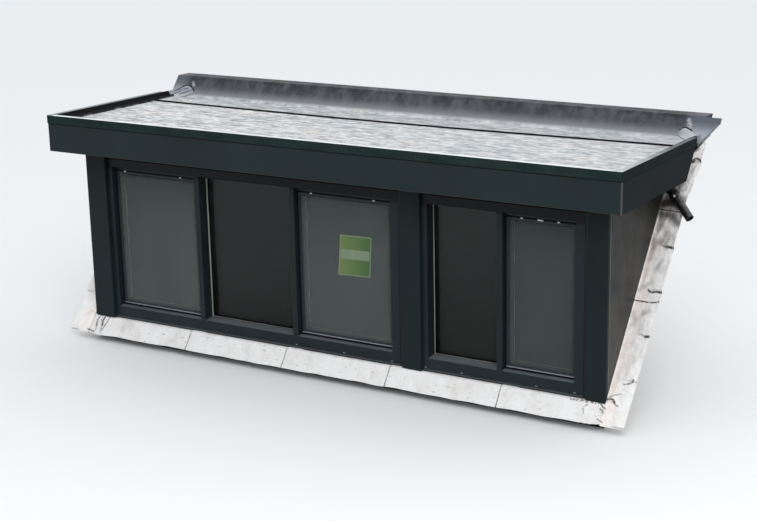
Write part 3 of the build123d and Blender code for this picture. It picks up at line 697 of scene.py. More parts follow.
# %% Membrane finish
membrane, tree, shader = new_finish("roofing_membrane", 0.6, specular=0.12)
patches = cloud(tree, 2.2, detail=4, stretch=(0.6, 1.8, 1), roughness=0.6)
spots = cloud(tree, 1.0, detail=7, stretch=(17, 32, 8), roughness=0.68)
flows = cloud(tree, 1.0, detail=7, stretch=(7, 24, 8), offset=(3, 1, 0), roughness=0.66)
grit = cloud(tree, 260.0, detail=3, roughness=0.6)
patch_tones = (0.3, "abb2b4"), (0.47, "cbcecf"), (0.56, "dfdbd8"), (0.66, "f2e2d2")
spot_tones = (0.37, "565b60"), (0.45, "9c9fa2"), (0.51, "d3d4d4"), (0.59, "fbf9f6")
patch_tone = ramp(tree, patches, patch_tones)
spot_tone = ramp(tree, spots, spot_tones)
weathered = mix(tree, 0.6, patch_tone, spot_tone)
flow_tone = ramp(tree, flows, spot_tones)
weathered = mix(tree, 0.4, weathered, flow_tone)
duller = grey_ramp(tree, axis(tree, "X"), -1.5, 1.2, 0.0, 0.22)
weathered = mix(tree, duller, weathered, "9da1a4")
seam_back = 0.950
seam_y = front_y + seam_back
rear_strip = grey_ramp(tree, axis(tree, "Y"), seam_y - 0.09, seam_y, 0.0, 0.24)
weathered = mix(tree, rear_strip, weathered, "93979a")
flat_rise = 1.505
flat_top = foot_z + flat_rise
# Painted shade: the upstand is darker the higher it rises.
upright_shade_share = grey_ramp(tree, axis(tree, "Z"), flat_top, flat_top + 0.14)
upright_shade_tones = (
    (0.0, "bebfc1"), (0.107, "b4b5b8"), (0.15, "98999c"), (0.19, "87898c"), (0.27, "797b7e"),
    (0.39, "676a6e"), (0.47, "585b60"), (0.6, "43464b"), (1.0, "313439"),
)
upright = ramp(tree, upright_shade_share, upright_shade_tones)
washed_down = cloud(tree, 1.0, detail=5, stretch=(12, 9, 9), roughness=0.6)
runs = grey_ramp(tree, washed_down, 0.4, 0.68, 0.0, 0.24)
upright = mix(tree, runs, upright, "8e9194")
climbing = grey_ramp(tree, axis(tree, "Z"), flat_top + 0.002, flat_top + 0.028)
print("flat sheet's top at", round(flat_top, 4), "seam at", round(seam_y, 4))

# %% [markdown]
# The sheet's two ears lie outside the kerbs. They are palest half way up, with
# painted shade at their foot and at their tip, so their tone comes from the
# distance up the slope. At both corners there are pale smudges of dried glue,
# and painted shadow lines lie along the folds.

# %% Ears and corners of the membrane
ear_start = 2.19
place = slope_place(tree)
run = run_of(tree, place)
from_middle = off_middle(tree)
# Painted shade at the ears' foot and tip.
ear_share = grey_ramp(tree, run, 1.86, 2.06)
ear_shade_tones = (
    (0.0, "5a5f66"), (0.2, "979ca4"), (0.42, "a6abb3"),
    (0.62, "959aa2"), (0.8, "73787f"), (1.0, "5c6168"),
)
ear_tone = ramp(tree, ear_share, ear_shade_tones)
upright = mix(tree, grey_ramp(tree, from_middle, 2.08, 2.18), upright, ear_tone)
on_ear = math(tree, "GREATER_THAN", from_middle, ear_start)
climbing = math(tree, "MAXIMUM", climbing, on_ear)
tone = mix(tree, climbing, weathered, upright)
patchy = grey_ramp(tree, cloud(tree, 70.0, detail=4), 0.35, 0.6, 0.2, 0.85)
glue_marks = (
    ((2.128, 2.062), (2.146, 2.018), 0.024),
    ((-2.065, 2.046), (-2.047, 2.018), 0.018),
)
for start, end, width in glue_marks:
    smudge = dirt_and_shade_line(tree, place, start, end, width, core=0.1)
    tone = mix(tree, math(tree, "MULTIPLY", smudge, patchy), tone, "c3c5c8")
# Painted shadow lines under the edges of the folds at both corners.
corner_shadow_lines = (
    ((2.084, 1.982), (2.104, 2.004), (2.132, 2.003), (2.164, 1.987)),
    ((-2.232, 1.938), (-2.135, 2.006), (-2.088, 2.016), (-2.030, 1.976)),
    ((-2.215, 1.912), (-2.153, 1.945)),
    ((-2.143, 1.922), (-2.046, 1.965)),
)
for points in corner_shadow_lines:
    tone = mix(tree, dirt_and_shade_path(tree, place, points, 0.008), tone, "1e2227")
tree.links.new(tone, shader.inputs["Base Color"])
vary_roughness(tree, shader, spots, 0.42, 0.68)
relief = bump(tree, shader, grit, 0.0006, 0.5)
bump(tree, shader, patches, 0.006, 0.35, under=relief)
paint(membrane, "roof_membrane")
print("membrane finished, lines of dirt at its corners:", len(corner_shadow_lines))

# %% [markdown]
# The kerb is covered with a newer, dark strip that dust has reached only low
# down. The outer side of its rear ends is wrapped in the paler sheet.

# %% Kerb finish
kerb_cover, tree, shader = new_finish("kerb_membrane", 0.6, specular=0.08)
settled = cloud(tree, 12.0, detail=6, roughness=0.65)
kerb_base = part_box("roof_kerb")[0].z
height = grey_ramp(tree, axis(tree, "Z"), kerb_base + 0.004, kerb_base + 0.016, 1.0, 0.0)
dusty_foot = math(tree, "MULTIPLY", height, grey_ramp(tree, settled, 0.45, 0.6))
kerb_tone = ramp(tree, settled, [(0.3, "1c1e23"), (0.7, "272a30")])
kerb_top = grey_ramp(tree, axis(tree, "Z"), kerb_base + 0.012, kerb_base + 0.03)
kerb_tone = mix(tree, kerb_top, kerb_tone, "08090b")
kerb_tone = mix(tree, dusty_foot, kerb_tone, "8b8e91")
wrap_length = 0.075
wrap_inner = 2.200
wrap_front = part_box("roof_kerb")[1].y - wrap_length
wrapped = math(tree, "GREATER_THAN", axis(tree, "Y"), wrap_front)
outward = math(tree, "GREATER_THAN", off_middle(tree), wrap_inner)
wrapped = math(tree, "MULTIPLY", wrapped, outward)
tree.links.new(mix(tree, wrapped, kerb_tone, "9da1a6"), shader.inputs["Base Color"])
paint(kerb_cover, "roof_kerb")
print("kerb finished")

# %% [markdown]
# ## Lead
#
# Old lead isn't shiny: it has a pale grey skin, almost white in daylight,
# with cream and pink stains. Beside the walls it is dirtier, more so higher
# up, and where the outlet drips on it the skin is washed away and the metal
# is bare and dark. Marks that belong to a place are drawn on the slope's own
# two directions, so that they stay on the lead where it is lifted.

# %% The lead's skin
lead, tree, shader = new_finish("dressed_lead", 0.55, specular=0.2)
place = slope_place(tree)
run = run_of(tree, place)
from_middle = off_middle(tree)
skin = cloud(tree, 4.5, detail=6, roughness=0.62)
stains = cloud(tree, 1.0, detail=7, roughness=0.66, place=slope_place(tree, 12.0, 7.0))
skin_tones = (0.28, "dcd7d1"), (0.42, "f1efec"), (0.58, "f9f8f7"), (0.75, "f5ede6")
stain_tones = (0.28, "bfb7af"), (0.4, "ebe7e3"), (0.55, "f8f7f5"), (0.8, "f5f1ed")
skin_tone = ramp(tree, skin, skin_tones)
stain_tone = ramp(tree, stains, stain_tones)
lead_tone = mix(tree, 0.5, skin_tone, stain_tone)
smudges = cloud(tree, 1.0, detail=4, roughness=0.6, place=slope_place(tree, 22.0, 62.0))
smudges = grey_ramp(tree, smudges, 0.62, 0.68, 0.0, 0.55)
lead_tone = mix(tree, smudges, lead_tone, "8f8a84")
print("tones in the lead's skin:", len(skin_tones) + len(stain_tones))

# %% [markdown]
# Beside the walls the lead is creamier near the panel, and grime grows up the
# slope in blotches. Painted highlights and a painted wash of light brighten the
# strip beside the wall, which keeps some light off it. Each tone is one more
# blend over the last, and its mask is a cloud times the places where it may
# show.

# %% Grime beside the walls
beside = grey_ramp(tree, from_middle, half + 0.006, half + 0.014)
near_wall = grey_ramp(tree, from_middle, half + 0.03, half + 0.115, 1.0, 0.0)
blotches = cloud(tree, 1.0, detail=6, roughness=0.6, place=slope_place(tree, 16.0, 6.0))
cream = math(tree, "MULTIPLY", beside, near_wall)
cream = math(tree, "MULTIPLY", cream, grey_ramp(tree, blotches, 0.38, 0.6, 0.15, 0.8))
cream = math(tree, "MULTIPLY", cream, grey_ramp(tree, run, 1.35, 1.5, 1.0, 0.0))
lead_tone = mix(tree, cream, lead_tone, "fbdccb")
growth = grey_ramp(tree, run, 0.97, 1.28, 0.02, 1.3)
growth = math(tree, "MULTIPLY", growth, grey_ramp(tree, run, 1.45, 1.50, 1.0, 0.0))
grime = cloud(tree, 1.0, detail=6, roughness=0.62, place=slope_place(tree, 26.0, 8.0))
grime = math(tree, "MULTIPLY", grey_ramp(tree, grime, 0.42, 0.6, 0.1, 1.0), growth)
grime = math(tree, "MULTIPLY", grime, math(tree, "MAXIMUM", near_wall, 0.45))
lead_tone = mix(tree, math(tree, "MULTIPLY", grime, beside), lead_tone, "655d58")
mottled = cloud(tree, 1.0, detail=5, roughness=0.6, place=slope_place(tree, 30.0, 12.0))
higher_up = grey_ramp(tree, run, 0.8, 1.25, 0.04, 1.0)
mottled = math(tree, "MULTIPLY", grey_ramp(tree, mottled, 0.48, 0.58, 0.0, 0.75), higher_up)
lead_tone = mix(tree, math(tree, "MULTIPLY", mottled, beside), lead_tone, "8d8783")
# Painted highlights: near-white spots on the strip beside the walls.
painted_highlights = cloud(tree, 1.0, detail=5, roughness=0.6, place=slope_place(tree, 22.0, 9.0))
painted_highlights = math(tree, "MULTIPLY", grey_ramp(tree, painted_highlights, 0.5, 0.58), beside)
lead_tone = mix(tree, math(tree, "MULTIPLY", painted_highlights, 0.8), lead_tone, "fdfcfb")
# Painted light: a pale wash over the middle of the strip, brightening it.
painted_light_wash = math(tree, "MULTIPLY", grey_ramp(tree, run, 0.5, 1.1, 0.6, 0.4), beside)
painted_light_wash = math(tree, "MULTIPLY", painted_light_wash, grey_ramp(tree, blotches, 0.35, 0.6, 1.0, 0.3))
lead_tone = mix(tree, painted_light_wash, lead_tone, "fffaf6")

# Painted shade lies in the dips between the folds, as soft grey marks.
soft_shade_marks = (
    ((2.112, 0.795), (2.150, 0.835), (2.186, 0.852)),
    ((2.118, 0.640), (2.150, 0.585), (2.135, 0.555)),
    ((2.125, 1.020), (2.140, 1.120), (2.175, 1.165)),
    ((2.190, 0.960), (2.215, 1.020)),
    ((2.195, 0.640), (2.225, 0.660)),
)
for points in soft_shade_marks:
    mark = dirt_and_shade_path(tree, place, points, 0.026, core=0.05)
    mark = math(tree, "MULTIPLY", mark, grey_ramp(tree, blotches, 0.35, 0.55, 0.22, 0.46))
    lead_tone = mix(tree, mark, lead_tone, "85807f")

# Water from the outlet keeps the lead under it bare, but for one paler spot,
# and splashes on to the fold below.
dripped = dirt_and_shade_line(tree, place, (2.120, 1.425), (2.215, 1.450), 0.062, core=0.3)
lead_tone = mix(tree, math(tree, "MULTIPLY", dripped, 0.93), lead_tone, "2a2623")
paler_spot = dirt_and_shade_line(tree, place, (2.185, 1.395), (2.215, 1.410), 0.026, core=0.2)
lead_tone = mix(tree, math(tree, "MULTIPLY", paler_spot, 0.5), lead_tone, "8f8a86")
splash_path = ((2.120, 1.355), (2.200, 1.345), (2.245, 1.300))
splashed = dirt_and_shade_path(tree, place, splash_path, 0.048, core=0.15)
lead_tone = mix(tree, math(tree, "MULTIPLY", splashed, 0.8), lead_tone, "453f3b")
print("soft marks on the lead:", len(soft_shade_marks))

# %% [markdown]
# Dark lines lie where sheets lap and where the lead is pleated or creased:
# partly dirt that settles there, and partly painted shadow in the creases and
# under the laps. Each dark line is a path of places on the slope, with its
# width and its strength, so that it can be moved when the lead's folds are
# moved.

# %% Dark lines on the lead: dirt and painted shadow
lap_lines = (-1.19, -0.34, 0.51, 1.36)
lead_dark_lines = [(((x - 0.002, 0.012), (x + 0.004, -0.15)), 0.0055, 1.0) for x in lap_lines]
lead_dark_lines += [
    (((-2.060, -0.008), (-2.066, -0.040), (-2.058, -0.078)), 0.008, 0.85),
    (((-2.058, -0.078), (-2.050, -0.122)), 0.005, 0.7),
    (((-2.008, 0.004), (-2.014, -0.034), (-2.006, -0.070)), 0.010, 0.95),
    (((-2.006, -0.070), (-2.003, -0.128)), 0.006, 0.8),
    (((-1.962, 0.006), (-1.970, -0.036), (-1.990, -0.112)), 0.006, 0.7),
    (((-2.035, -0.004), (-2.032, -0.046)), 0.005, 0.6),
    (((-2.125, -0.120), (-2.060, -0.132)), 0.009, 0.8),
    (((-2.090, 0.010), (-1.905, 0.008)), 0.006, 1.0),
    (((2.104, 0.034), (2.126, 0.040), (2.146, 0.036), (2.160, 0.018)), 0.011, 1.0),
    (((2.160, 0.018), (2.172, 0.004), (2.190, 0.001)), 0.006, 0.8),
    (((2.112, 0.047), (2.145, 0.070), (2.188, 0.083)), 0.006, 0.55),
    (((2.185, 0.149), (2.214, 0.158)), 0.006, 0.7),
    (((2.214, 0.158), (2.236, 0.170), (2.248, 0.186)), 0.008, 0.85),
    (((1.980, -0.019), (1.960, -0.046), (1.974, -0.083)), 0.006, 0.6),
    (((2.071, -0.003), (2.088, -0.020), (2.109, -0.028)), 0.008, 0.8),
    (((2.071, -0.034), (2.090, -0.044), (2.102, -0.060)), 0.007, 0.7),
    (((2.072, -0.104), (2.112, -0.120)), 0.007, 0.6),
    (((2.198, 0.500), (2.220, 0.494), (2.240, 0.484)), 0.005, 0.5),
    (((2.240, 0.484), (2.256, 0.487), (2.276, 0.489)), 0.010, 1.0),
    (((2.176, 0.806), (2.186, 0.796), (2.204, 0.792)), 0.009, 1.0),
    (((2.204, 0.792), (2.230, 0.797), (2.277, 0.798)), 0.011, 1.0),
    (((2.186, 1.128), (2.204, 1.118), (2.222, 1.117)), 0.006, 0.6),
    (((2.222, 1.117), (2.240, 1.118), (2.277, 1.112)), 0.010, 1.0),
    (((2.228, 1.756), (2.236, 1.749), (2.246, 1.757), (2.256, 1.770)), 0.012, 1.0),
    (((2.256, 1.770), (2.268, 1.772), (2.298, 1.758)), 0.012, 1.0),
    (((2.098, 0.723), (2.225, 0.722), (2.271, 0.734)), 0.006, 1.0),
    (((2.105, 1.383), (2.262, 1.374)), 0.006, 1.0),
    (((2.236, 1.858), (2.252, 1.880), (2.276, 1.914), (2.306, 1.968)), 0.007, 1.0),
]
# The dark lines are partly dirt and partly painted shadow in creases and laps.
dirt_and_shade_mask = 0.0
for points, width, depth in lead_dark_lines:
    line = math(tree, "MULTIPLY", dirt_and_shade_path(tree, place, points, width, core=0.4), depth)
    dirt_and_shade_mask = math(tree, "MAXIMUM", dirt_and_shade_mask, line)
uneven = grey_ramp(tree, cloud(tree, 85.0, detail=3), 0.32, 0.55, 0.45, 1.0)
lead_tone = mix(tree, math(tree, "MULTIPLY", dirt_and_shade_mask, uneven), lead_tone, "26211d")

# The hollow where the lead runs in under the membrane's ear lies in the dark.
hollow = dirt_and_shade_line(tree, place, (2.226, 1.845), (2.243, 1.888), 0.034, core=0.4)
lead_tone = mix(tree, hollow, lead_tone, "24211f")
print("lines of dirt on the lead:", len(lead_dark_lines))

# %% [markdown]
# A little mortar is left along the feet of the outer posts. The relief of the
# lead comes last: broad dents from the mallet, and fine ones on top of them.

# %% Mortar and relief
right_joint = ((1.846, 0.002), (2.05, 0.004), (2.10, 0.018))
left_joint = ((-2.09, 0.006), (-1.93, 0.004))
mortar = math(
    tree, "MAXIMUM",
    dirt_and_shade_path(tree, place, right_joint, 0.015),
    dirt_and_shade_line(tree, place, *left_joint, 0.010),
)
crumbs = grey_ramp(tree, cloud(tree, 55.0, detail=4), 0.44, 0.54, 0.0, 0.9)
mortar = math(tree, "MULTIPLY", mortar, crumbs)
lead_tone = mix(tree, mortar, lead_tone, "7f7767")
tree.links.new(lead_tone, shader.inputs["Base Color"])
vary_roughness(tree, shader, stains, 0.4, 0.62)
dents_map = cloud(tree, 35.0, detail=5, roughness=0.6)
beaten = cloud(tree, 1.0, detail=4, roughness=0.55, place=slope_place(tree, 18.0, 13.0))
relief = bump(tree, shader, beaten, 0.02, 0.55)
bump(tree, shader, dents_map, 0.004, 0.5, under=relief)
print("lead finished")

# %% [markdown]
# ## Black plastic, seals and small metal
#
# The outlet is black gloss plastic, with dust where its surface faces up and
# a painted glint on its socket. Seals are matt black rubber, the screens' clips
# are bare metal, and the drain caps and handles are coated. The glint is a
# round painted highlight: its mask is the distance to one place on the pipe.

# %% Pipe, seal, metal and handle finishes
def soft_spot(tree, place, inner, outer):
    """A mask that is 1 near a place on the piece and 0 away from it."""
    gap = tree.nodes.new("ShaderNodeVectorMath")
    gap.operation = "DISTANCE"
    gap.inputs[1].default_value = place
    tree.links.new(coordinates(tree), gap.inputs[0])
    return grey_ramp(tree, gap.outputs["Value"], inner, outer, 1.0, 0.0)


pipe_black, tree, shader = new_finish("pipe_black", 0.26, specular=0.8)
normal = tree.nodes.new("ShaderNodeNewGeometry")
facing_up = tree.nodes.new("ShaderNodeSeparateXYZ")
tree.links.new(normal.outputs["Normal"], facing_up.inputs["Vector"])
upward = grey_ramp(tree, facing_up.outputs["Z"], 0.2, 1.0)
settled_dust = grey_ramp(tree, cloud(tree, 40.0, detail=5), 0.3, 0.6)
dust = math(tree, "MULTIPLY", upward, settled_dust)
pipe_tone = mix(tree, math(tree, "MULTIPLY", dust, 0.7), "0b0b0c", "6c6c6d")
# Painted highlight: a pale spot for the glint on the socket.
painted_light = soft_spot(tree, on_slope(2.201, 1.456, 0.088), 0.012, 0.017)
tree.links.new(mix(tree, painted_light, pipe_tone, "e8e8e6"), shader.inputs["Base Color"])
paint(pipe_black, "outlet_elbow", "outlet_pipe")

seal_black, tree, shader = new_finish("seal_black", 0.75, specular=0.08)
two_shades(tree, shader, 80.0, "08090a", "101213")

clip_metal, tree, shader = new_finish("clip_metal", 0.4, metallic=1.0)
two_shades(tree, shader, 200.0, "8f9190", "b4b5b3")

cap_grey, tree, shader = new_finish("cap_grey", 0.5, specular=0.4)
two_shades(tree, shader, 200.0, "7e8385", "989da0")

handle_metal, tree, shader = new_finish("handle_metal", 0.35, specular=0.5)
two_shades(tree, shader, 120.0, "d4d4d2", "e2e2e0")
paint(handle_metal, "sash_handles")
print("pipe, seals and metal finished")

# %% [markdown]
# ## Tools for modelling
#
# Blender's operators work on whatever is selected, so each step first picks
# one piece and nothing else. A finished piece has its place in its mesh, so
# that its object sits at the origin. Then it gets its finish, is fixed to the
# dormer, and may take the place of a plain part.

# %% Helpers that select, finish and settle a piece
def pick(piece):
    """Select one piece alone and make it active."""
    bpy.ops.object.select_all(action="DESELECT")
    piece.select_set(True)
    bpy.context.view_layer.objects.active = piece


def finish_with(piece, kind, **settings):
    """Add a modifier with its settings and apply it."""
    pick(piece)
    modifier = piece.modifiers.new(kind.title(), kind)
    for key, value in settings.items():
        setattr(modifier, key, value)
    bpy.ops.object.modifier_apply(modifier=modifier.name)


def settle(piece, material, replaced=()):
    """Put a piece's place into its mesh, give it its finish and fix it to the dormer."""
    pick(piece)
    bpy.ops.object.transform_apply(location=True, rotation=True, scale=True)
    piece.data.materials.clear()
    piece.data.materials.append(material)
    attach(piece, "root")
    if replaced:
        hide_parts(*replaced)
    print(piece.name, "faces:", len(piece.data.polygons))


def join(name, pieces):
    """Join several pieces into the first one, and give it a name."""
    bpy.ops.object.select_all(action="DESELECT")
    for piece in pieces:
        piece.select_set(True)
    bpy.context.view_layer.objects.active = pieces[0]
    bpy.ops.object.join()
    pieces[0].name = name
    return pieces[0]

# %% [markdown]
# A sheet of metal or membrane starts as a flat grid and is then laid in place,
# point by point, by a rule: that is how a roofer dresses it, and it keeps an
# even mesh for soft creases. The rules are made of a few simple shapes: a soft
# step, a bell, shallow dents and the distance to a line.

# %% A sheet laid by a rule, and the shapes of the rules
def laid_sheet(name, across, along, place):
    """A grid whose points are placed by a rule of two shares, each from 0 to 1."""
    bpy.ops.mesh.primitive_grid_add(x_subdivisions=across, y_subdivisions=along, size=1)
    sheet = bpy.context.object
    sheet.name = name
    for vertex in sheet.data.vertices:
        vertex.co = place(vertex.co.x + 0.5, vertex.co.y + 0.5)
    return sheet


def soft_step(value, start, end):
    """Rises smoothly from 0 at the start to 1 at the end."""
    share = min(max((value - start) / (end - start), 0.0), 1.0)
    return share * share * (3 - 2 * share)


def bell(value, width):
    """1 at zero, fading to nothing a few widths away."""
    return exp(-((value / width) ** 2))


def dents(x, y, size):
    """Shallow hand-made dents, between -1 and 1."""
    return noise.noise(Vector((x / size, y / size, 0.0)))


def near_line(x, y, start, end):
    """Distance from a point to a line between two places on the sheet."""
    reach = Vector(end) - Vector(start)
    from_start = Vector((x, y)) - Vector(start)
    along = min(max(from_start.dot(reach) / reach.length_squared, 0), 1)
    return (from_start - reach * along).length


print("a soft step, a quarter of the way:", soft_step(0.25, 0.0, 1.0))

# %% [markdown]
# ## Lead apron
#
# A lead apron closes the joint under the front. On site it is put down in
# sheets of under a metre, each one over its left neighbour, because longer
# lead tears when the sun warms it. A sheet lies on the slope, turns round
# the foot of the front and runs in under the frames. It is dressed by hand
# with a soft mallet, so the lower edge follows the waves of the roof a little
# and the face keeps shallow dents. Each sheet here is a flat grid, bent to
# that path and then given its thickness. Two end sheets reach past the posts.

# %% The apron's path
apron_drop = 0.143
apron_reach = 0.17
bend = 0.010
tray_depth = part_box("front_rail")[1].y - front_y
wave_width = 0.30
sheet_metal = 0.0025
upper_lift = 0.0032
print("apron reaches down", apron_drop, "and runs in under the frames", round(tray_depth, 4))


def apron_path(x, s, lift):
    """A point on the apron: up the slope, round the bend and in under the frames."""
    bend_start = -bend * tan(pitch / 2)
    centre = on_slope(x, bend_start, -bend)
    if s < bend_start:
        return on_slope(x, s, lift)
    turned = min((s - bend_start) / bend, pitch)
    out = Vector((0, -sin(pitch - turned), cos(pitch - turned)))
    flat = max(s - bend_start - bend * pitch, 0)
    return centre + out * (bend + lift) + Vector((0, flat, 0))

# %% [markdown]
# The roofer gathers the surplus lead into short pleats at both feet of the
# front. Each pleat is a ridge between two places. The waves of the roof and
# the dents are added to it, and where one sheet lies over the next it rides up.

# %% The apron's sheets
foot_pleats = (
    ((-2.068, -0.02), (-2.064, -0.14)),
    ((-2.018, 0.0), (-2.012, -0.14)),
    ((-1.974, 0.0), (-1.994, -0.13)),
    ((2.080, -0.002), (2.115, -0.026)),
    ((2.080, -0.046), (2.112, -0.068)),
    ((1.988, -0.020), (1.968, -0.048)),
    ((1.968, -0.048), (1.982, -0.085)),
)


def apron_lift(x, s):
    """Height of the dressed lead over the slope, without its laps."""
    leg = 1 - soft_step(s, -0.03, 0.0)
    low = 1 - soft_step(s, -apron_drop, -0.07)
    lift = 0.0012 + leg * 0.0016 * (dents(x, s, 0.09) + dents(x, s, 0.03) * 0.6)
    lift += low * 0.003 * (0.5 + 0.5 * cos(2 * pi * x / wave_width))
    for start, end in foot_pleats:
        lift += leg * 0.007 * bell(near_line(x, s, start, end), 0.007)
    return max(lift, 0.0004)


def apron_sheet(name, x_from, x_to, over, to_back):
    """One sheet of the apron; its left edge may lie over the sheet before it."""
    total = apron_drop + (tray_depth if to_back else -0.01)

    def place(across, along):
        x = x_from + (x_to - x_from) * across
        torn = 0.004 * dents(x, 9.1, 0.02) * (abs(x) > 1.95)
        toe = -apron_drop - 0.003 + 0.006 * dents(x, 1.7, 0.16)
        toe += 0.12 * max(abs(x) - 2.03, 0.0) + torn
        s = toe + (total + 0.003) * along
        ride_up = (1 - soft_step(x, over + 0.004, over + 0.03)) * upper_lift if over else 0
        return apron_path(x, s, apron_lift(x, s) + ride_up)

    rows = 60 if to_back else 34
    sheet = laid_sheet(name, max(int((x_to - x_from) / 0.008), 12), rows, place)
    finish_with(sheet, "SOLIDIFY", thickness=sheet_metal, offset=1)
    return sheet


lap_cover = 0.10
edges = [-half + 0.012, *lap_lines, half - 0.012]
sheets = []
for i in range(len(edges) - 1):
    over_until = edges[i] + lap_cover if i else 0
    stop = edges[i + 1] + (lap_cover if i < len(edges) - 2 else 0)
    sheets.append(apron_sheet("apron_sheet", edges[i], stop, over_until, True))
for side in (-1, 1):
    near, far = side * (half - 0.014), side * (half + apron_reach - 0.002)
    sheets.append(apron_sheet("apron_end", min(near, far), max(near, far), 0, False))
apron = join("dressed_apron", sheets)
bpy.ops.object.shade_smooth_by_angle(angle=radians(50))
settle(apron, lead, ("front_apron",))

# %% [markdown]
# ## Lead beside the walls
#
# Beside each wall a strip of lead climbs the slope, with a lip folded up
# against the panel. The roof under it steps up at every course, so the strip
# is beaten down behind each course's nose. Near the wall the lead bridges
# those steps, and only its outer third folds right over them, which leaves a
# short hooked crease. The strip is three sheets long, the middle one lying
# over the other two, and a last piece runs in under the membrane.

# %% The strip's shape over the courses
course_gauge = 0.3155
first_nose = -0.130
strip_sheets = ((-0.146, 0.80), (0.725, 1.45), (1.378, 1.795))
lip_rise = 0.015
strip_metal = 0.0022
noses = floor((strip_sheets[-1][1] - first_nose) / course_gauge) + 1
print("course noses under each strip:", noses)


def course_phase(run):
    """Share of the way from one course's nose to the next, and the distance to a nose."""
    steps = (run - first_nose) / course_gauge
    phase = steps - floor(steps)
    return phase, (phase if phase < 0.5 else phase - 1) * course_gauge


# Each fold is a line across the strip, its height and its width.
strip_folds = (
    ((2.104, 0.026), (2.146, 0.030), 0.007, 0.008),
    ((2.146, 0.030), (2.190, -0.001), 0.007, 0.008),
    ((2.112, 0.057), (2.188, 0.093), 0.006, 0.009),
    ((2.185, 0.159), (2.248, 0.201), 0.006, 0.009),
    ((2.105, 0.50), (2.135, 0.60), 0.004, 0.020),
    ((2.160, 0.56), (2.200, 0.64), 0.003, 0.022),
    ((2.110, 0.82), (2.160, 0.90), 0.004, 0.020),
    ((2.130, 0.98), (2.180, 1.06), 0.003, 0.025),
    ((2.110, 1.13), (2.150, 1.22), 0.005, 0.018),
    ((2.205, 1.55), (2.270, 1.62), 0.004, 0.012),
)


def strip_point(side, inset, run, ride_up):
    """A point on the strip, at a distance from the wall, over the courses."""
    x = half + inset
    outer = soft_step(inset, 0.062, 0.125)
    phase, from_nose = course_phase(run)
    saw = 1 - phase
    if from_nose < 0:
        saw += phase * soft_step(from_nose, -0.016, 0.0)
    gentle = 0.25 * soft_step(inset, 0.01, 0.10)
    lift = 0.0036 + 0.015 * saw * (outer + gentle * (1 - outer))
    tuck = 0.013 * outer * bell(from_nose - 0.009, 0.009)
    for start, end, height, width in strip_folds:
        ridge = bell(near_line(x, run, start, end), width)
        lift += height * ridge * soft_step(inset, 0.0, 0.02)
    across = side * x
    hammered = dents(across, run, 0.11) + 0.55 * dents(across, run, 0.045)
    hammered += 0.25 * dents(across, run, 0.02)
    lift += 0.0056 * hammered * soft_step(inset, 0.006, 0.03)
    return on_slope(across, run - tuck, max(lift, 0.0034) + ride_up)


def strip_reach(side, run):
    """How far the strip reaches out from the wall; the right one widens near its top."""
    wider = 0.026 * soft_step(run, 1.45, 1.74) if side > 0 else 0.0
    return apron_reach + 0.003 * dents(run, 4.2, 0.12) + wider

# %% [markdown]
# A sheet of the strip is laid out from its lip: the first rows stand up on the
# panel, and the rest go out over the slope as far as the strip reaches there.

# %% One sheet of the strip
def side_strip(side, run_from, run_to, level):
    """One sheet of the strip: a lip on the wall, then out over the courses."""
    lip = lip_rise - 0.004
    width = apron_reach
    start = 0.0045

    def place(across, along):
        t = (lip + width) * across
        run = run_from + (run_to - run_from) * along
        if t < lip:
            rise = on_slope(0, 0, lip - t) - on_slope(0, 0, 0)
            return strip_point(side, start, run, level) + rise
        inset = start + (t - lip) * (strip_reach(side, run) - start) / width
        return strip_point(side, inset, run, level)

    rows = int((run_to - run_from) / 0.0035)
    sheet = laid_sheet("strip_sheet", 44, rows, place)
    finish_with(sheet, "SOLIDIFY", thickness=strip_metal, offset=0)
    return sheet

# %% [markdown]
# Above the last sheet, one more piece climbs past the fascia's end and in under
# the membrane's ear. Its upper edge is slanted, as the ear is. All the sheets
# of a side are joined, and take the place of the plain strip there.

# %% The piece above the strips, and both sides joined
def upper_strip(side):
    """The piece that climbs past the fascia's end and in under the membrane's ear."""
    inner, widening = half + 0.105, 0.012
    outer = half + (0.192 if side > 0 else 0.170)

    def place(across, along):
        x = inner + (outer + widening * along * (side > 0) - inner) * across
        low = 1.757 + 0.006 * sin(3 * pi * across)
        top = 1.870 + 1.587 * (x - 2.239)
        run = low + (top - low) * along
        point = strip_point(side, x - half, run, 0.0062)
        return point.lerp(on_slope(side * x, run, 0.002), soft_step(along, 0.7, 1.0))

    sheet = laid_sheet("strip_top", 24, 60, place)
    finish_with(sheet, "SOLIDIFY", thickness=strip_metal, offset=0)
    return sheet


for side, name in ((-1, "left_flashing"), (1, "right_flashing")):
    pieces = [
        side_strip(side, start, stop, i % 2 * 0.0028 + 0.0016)
        for i, (start, stop) in enumerate(strip_sheets)
    ]
    pieces.append(upper_strip(side))
    strip = join("dressed_" + name, pieces)
    bpy.ops.object.shade_smooth_by_angle(angle=radians(50))
    settle(strip, lead, (name,))

# %% [markdown]
# ## Insect screens
#
# Each opening sash has a screen in front of it: a slim extruded frame that
# holds a fine grey mesh. The frame is one rectangle, inset for the opening and
# pulled out to its depth, with eased edges. The mesh itself is far too fine to
# model thread by thread, so it's a single thin sheet whose finish lets about
# half of the light through, in a fine weave. The right one has gathered less
# dust than the others. A black brush fills the gap between the screen and the
# reveal, as painted shade for that gap. It reads as a thin dark line round
# every screen, and it is what sets them apart.

# %% Screen finishes
screen_foil, tree, shader = new_finish("screen_foil", 0.42, specular=0.2)
wear = cloud(tree, 30.0, detail=4)
foil_tone = ramp(tree, wear, [(0.3, "2c3337"), (0.7, "353d41")])
tree.links.new(foil_tone, shader.inputs["Base Color"])
bump(tree, shader, cloud(tree, 700.0, detail=2), 0.0001, 0.3)

screen_edge, tree, shader = new_finish("screen_edge", 0.3, specular=0.5)
two_shades(tree, shader, 40.0, "7d858b", "99a1a6")

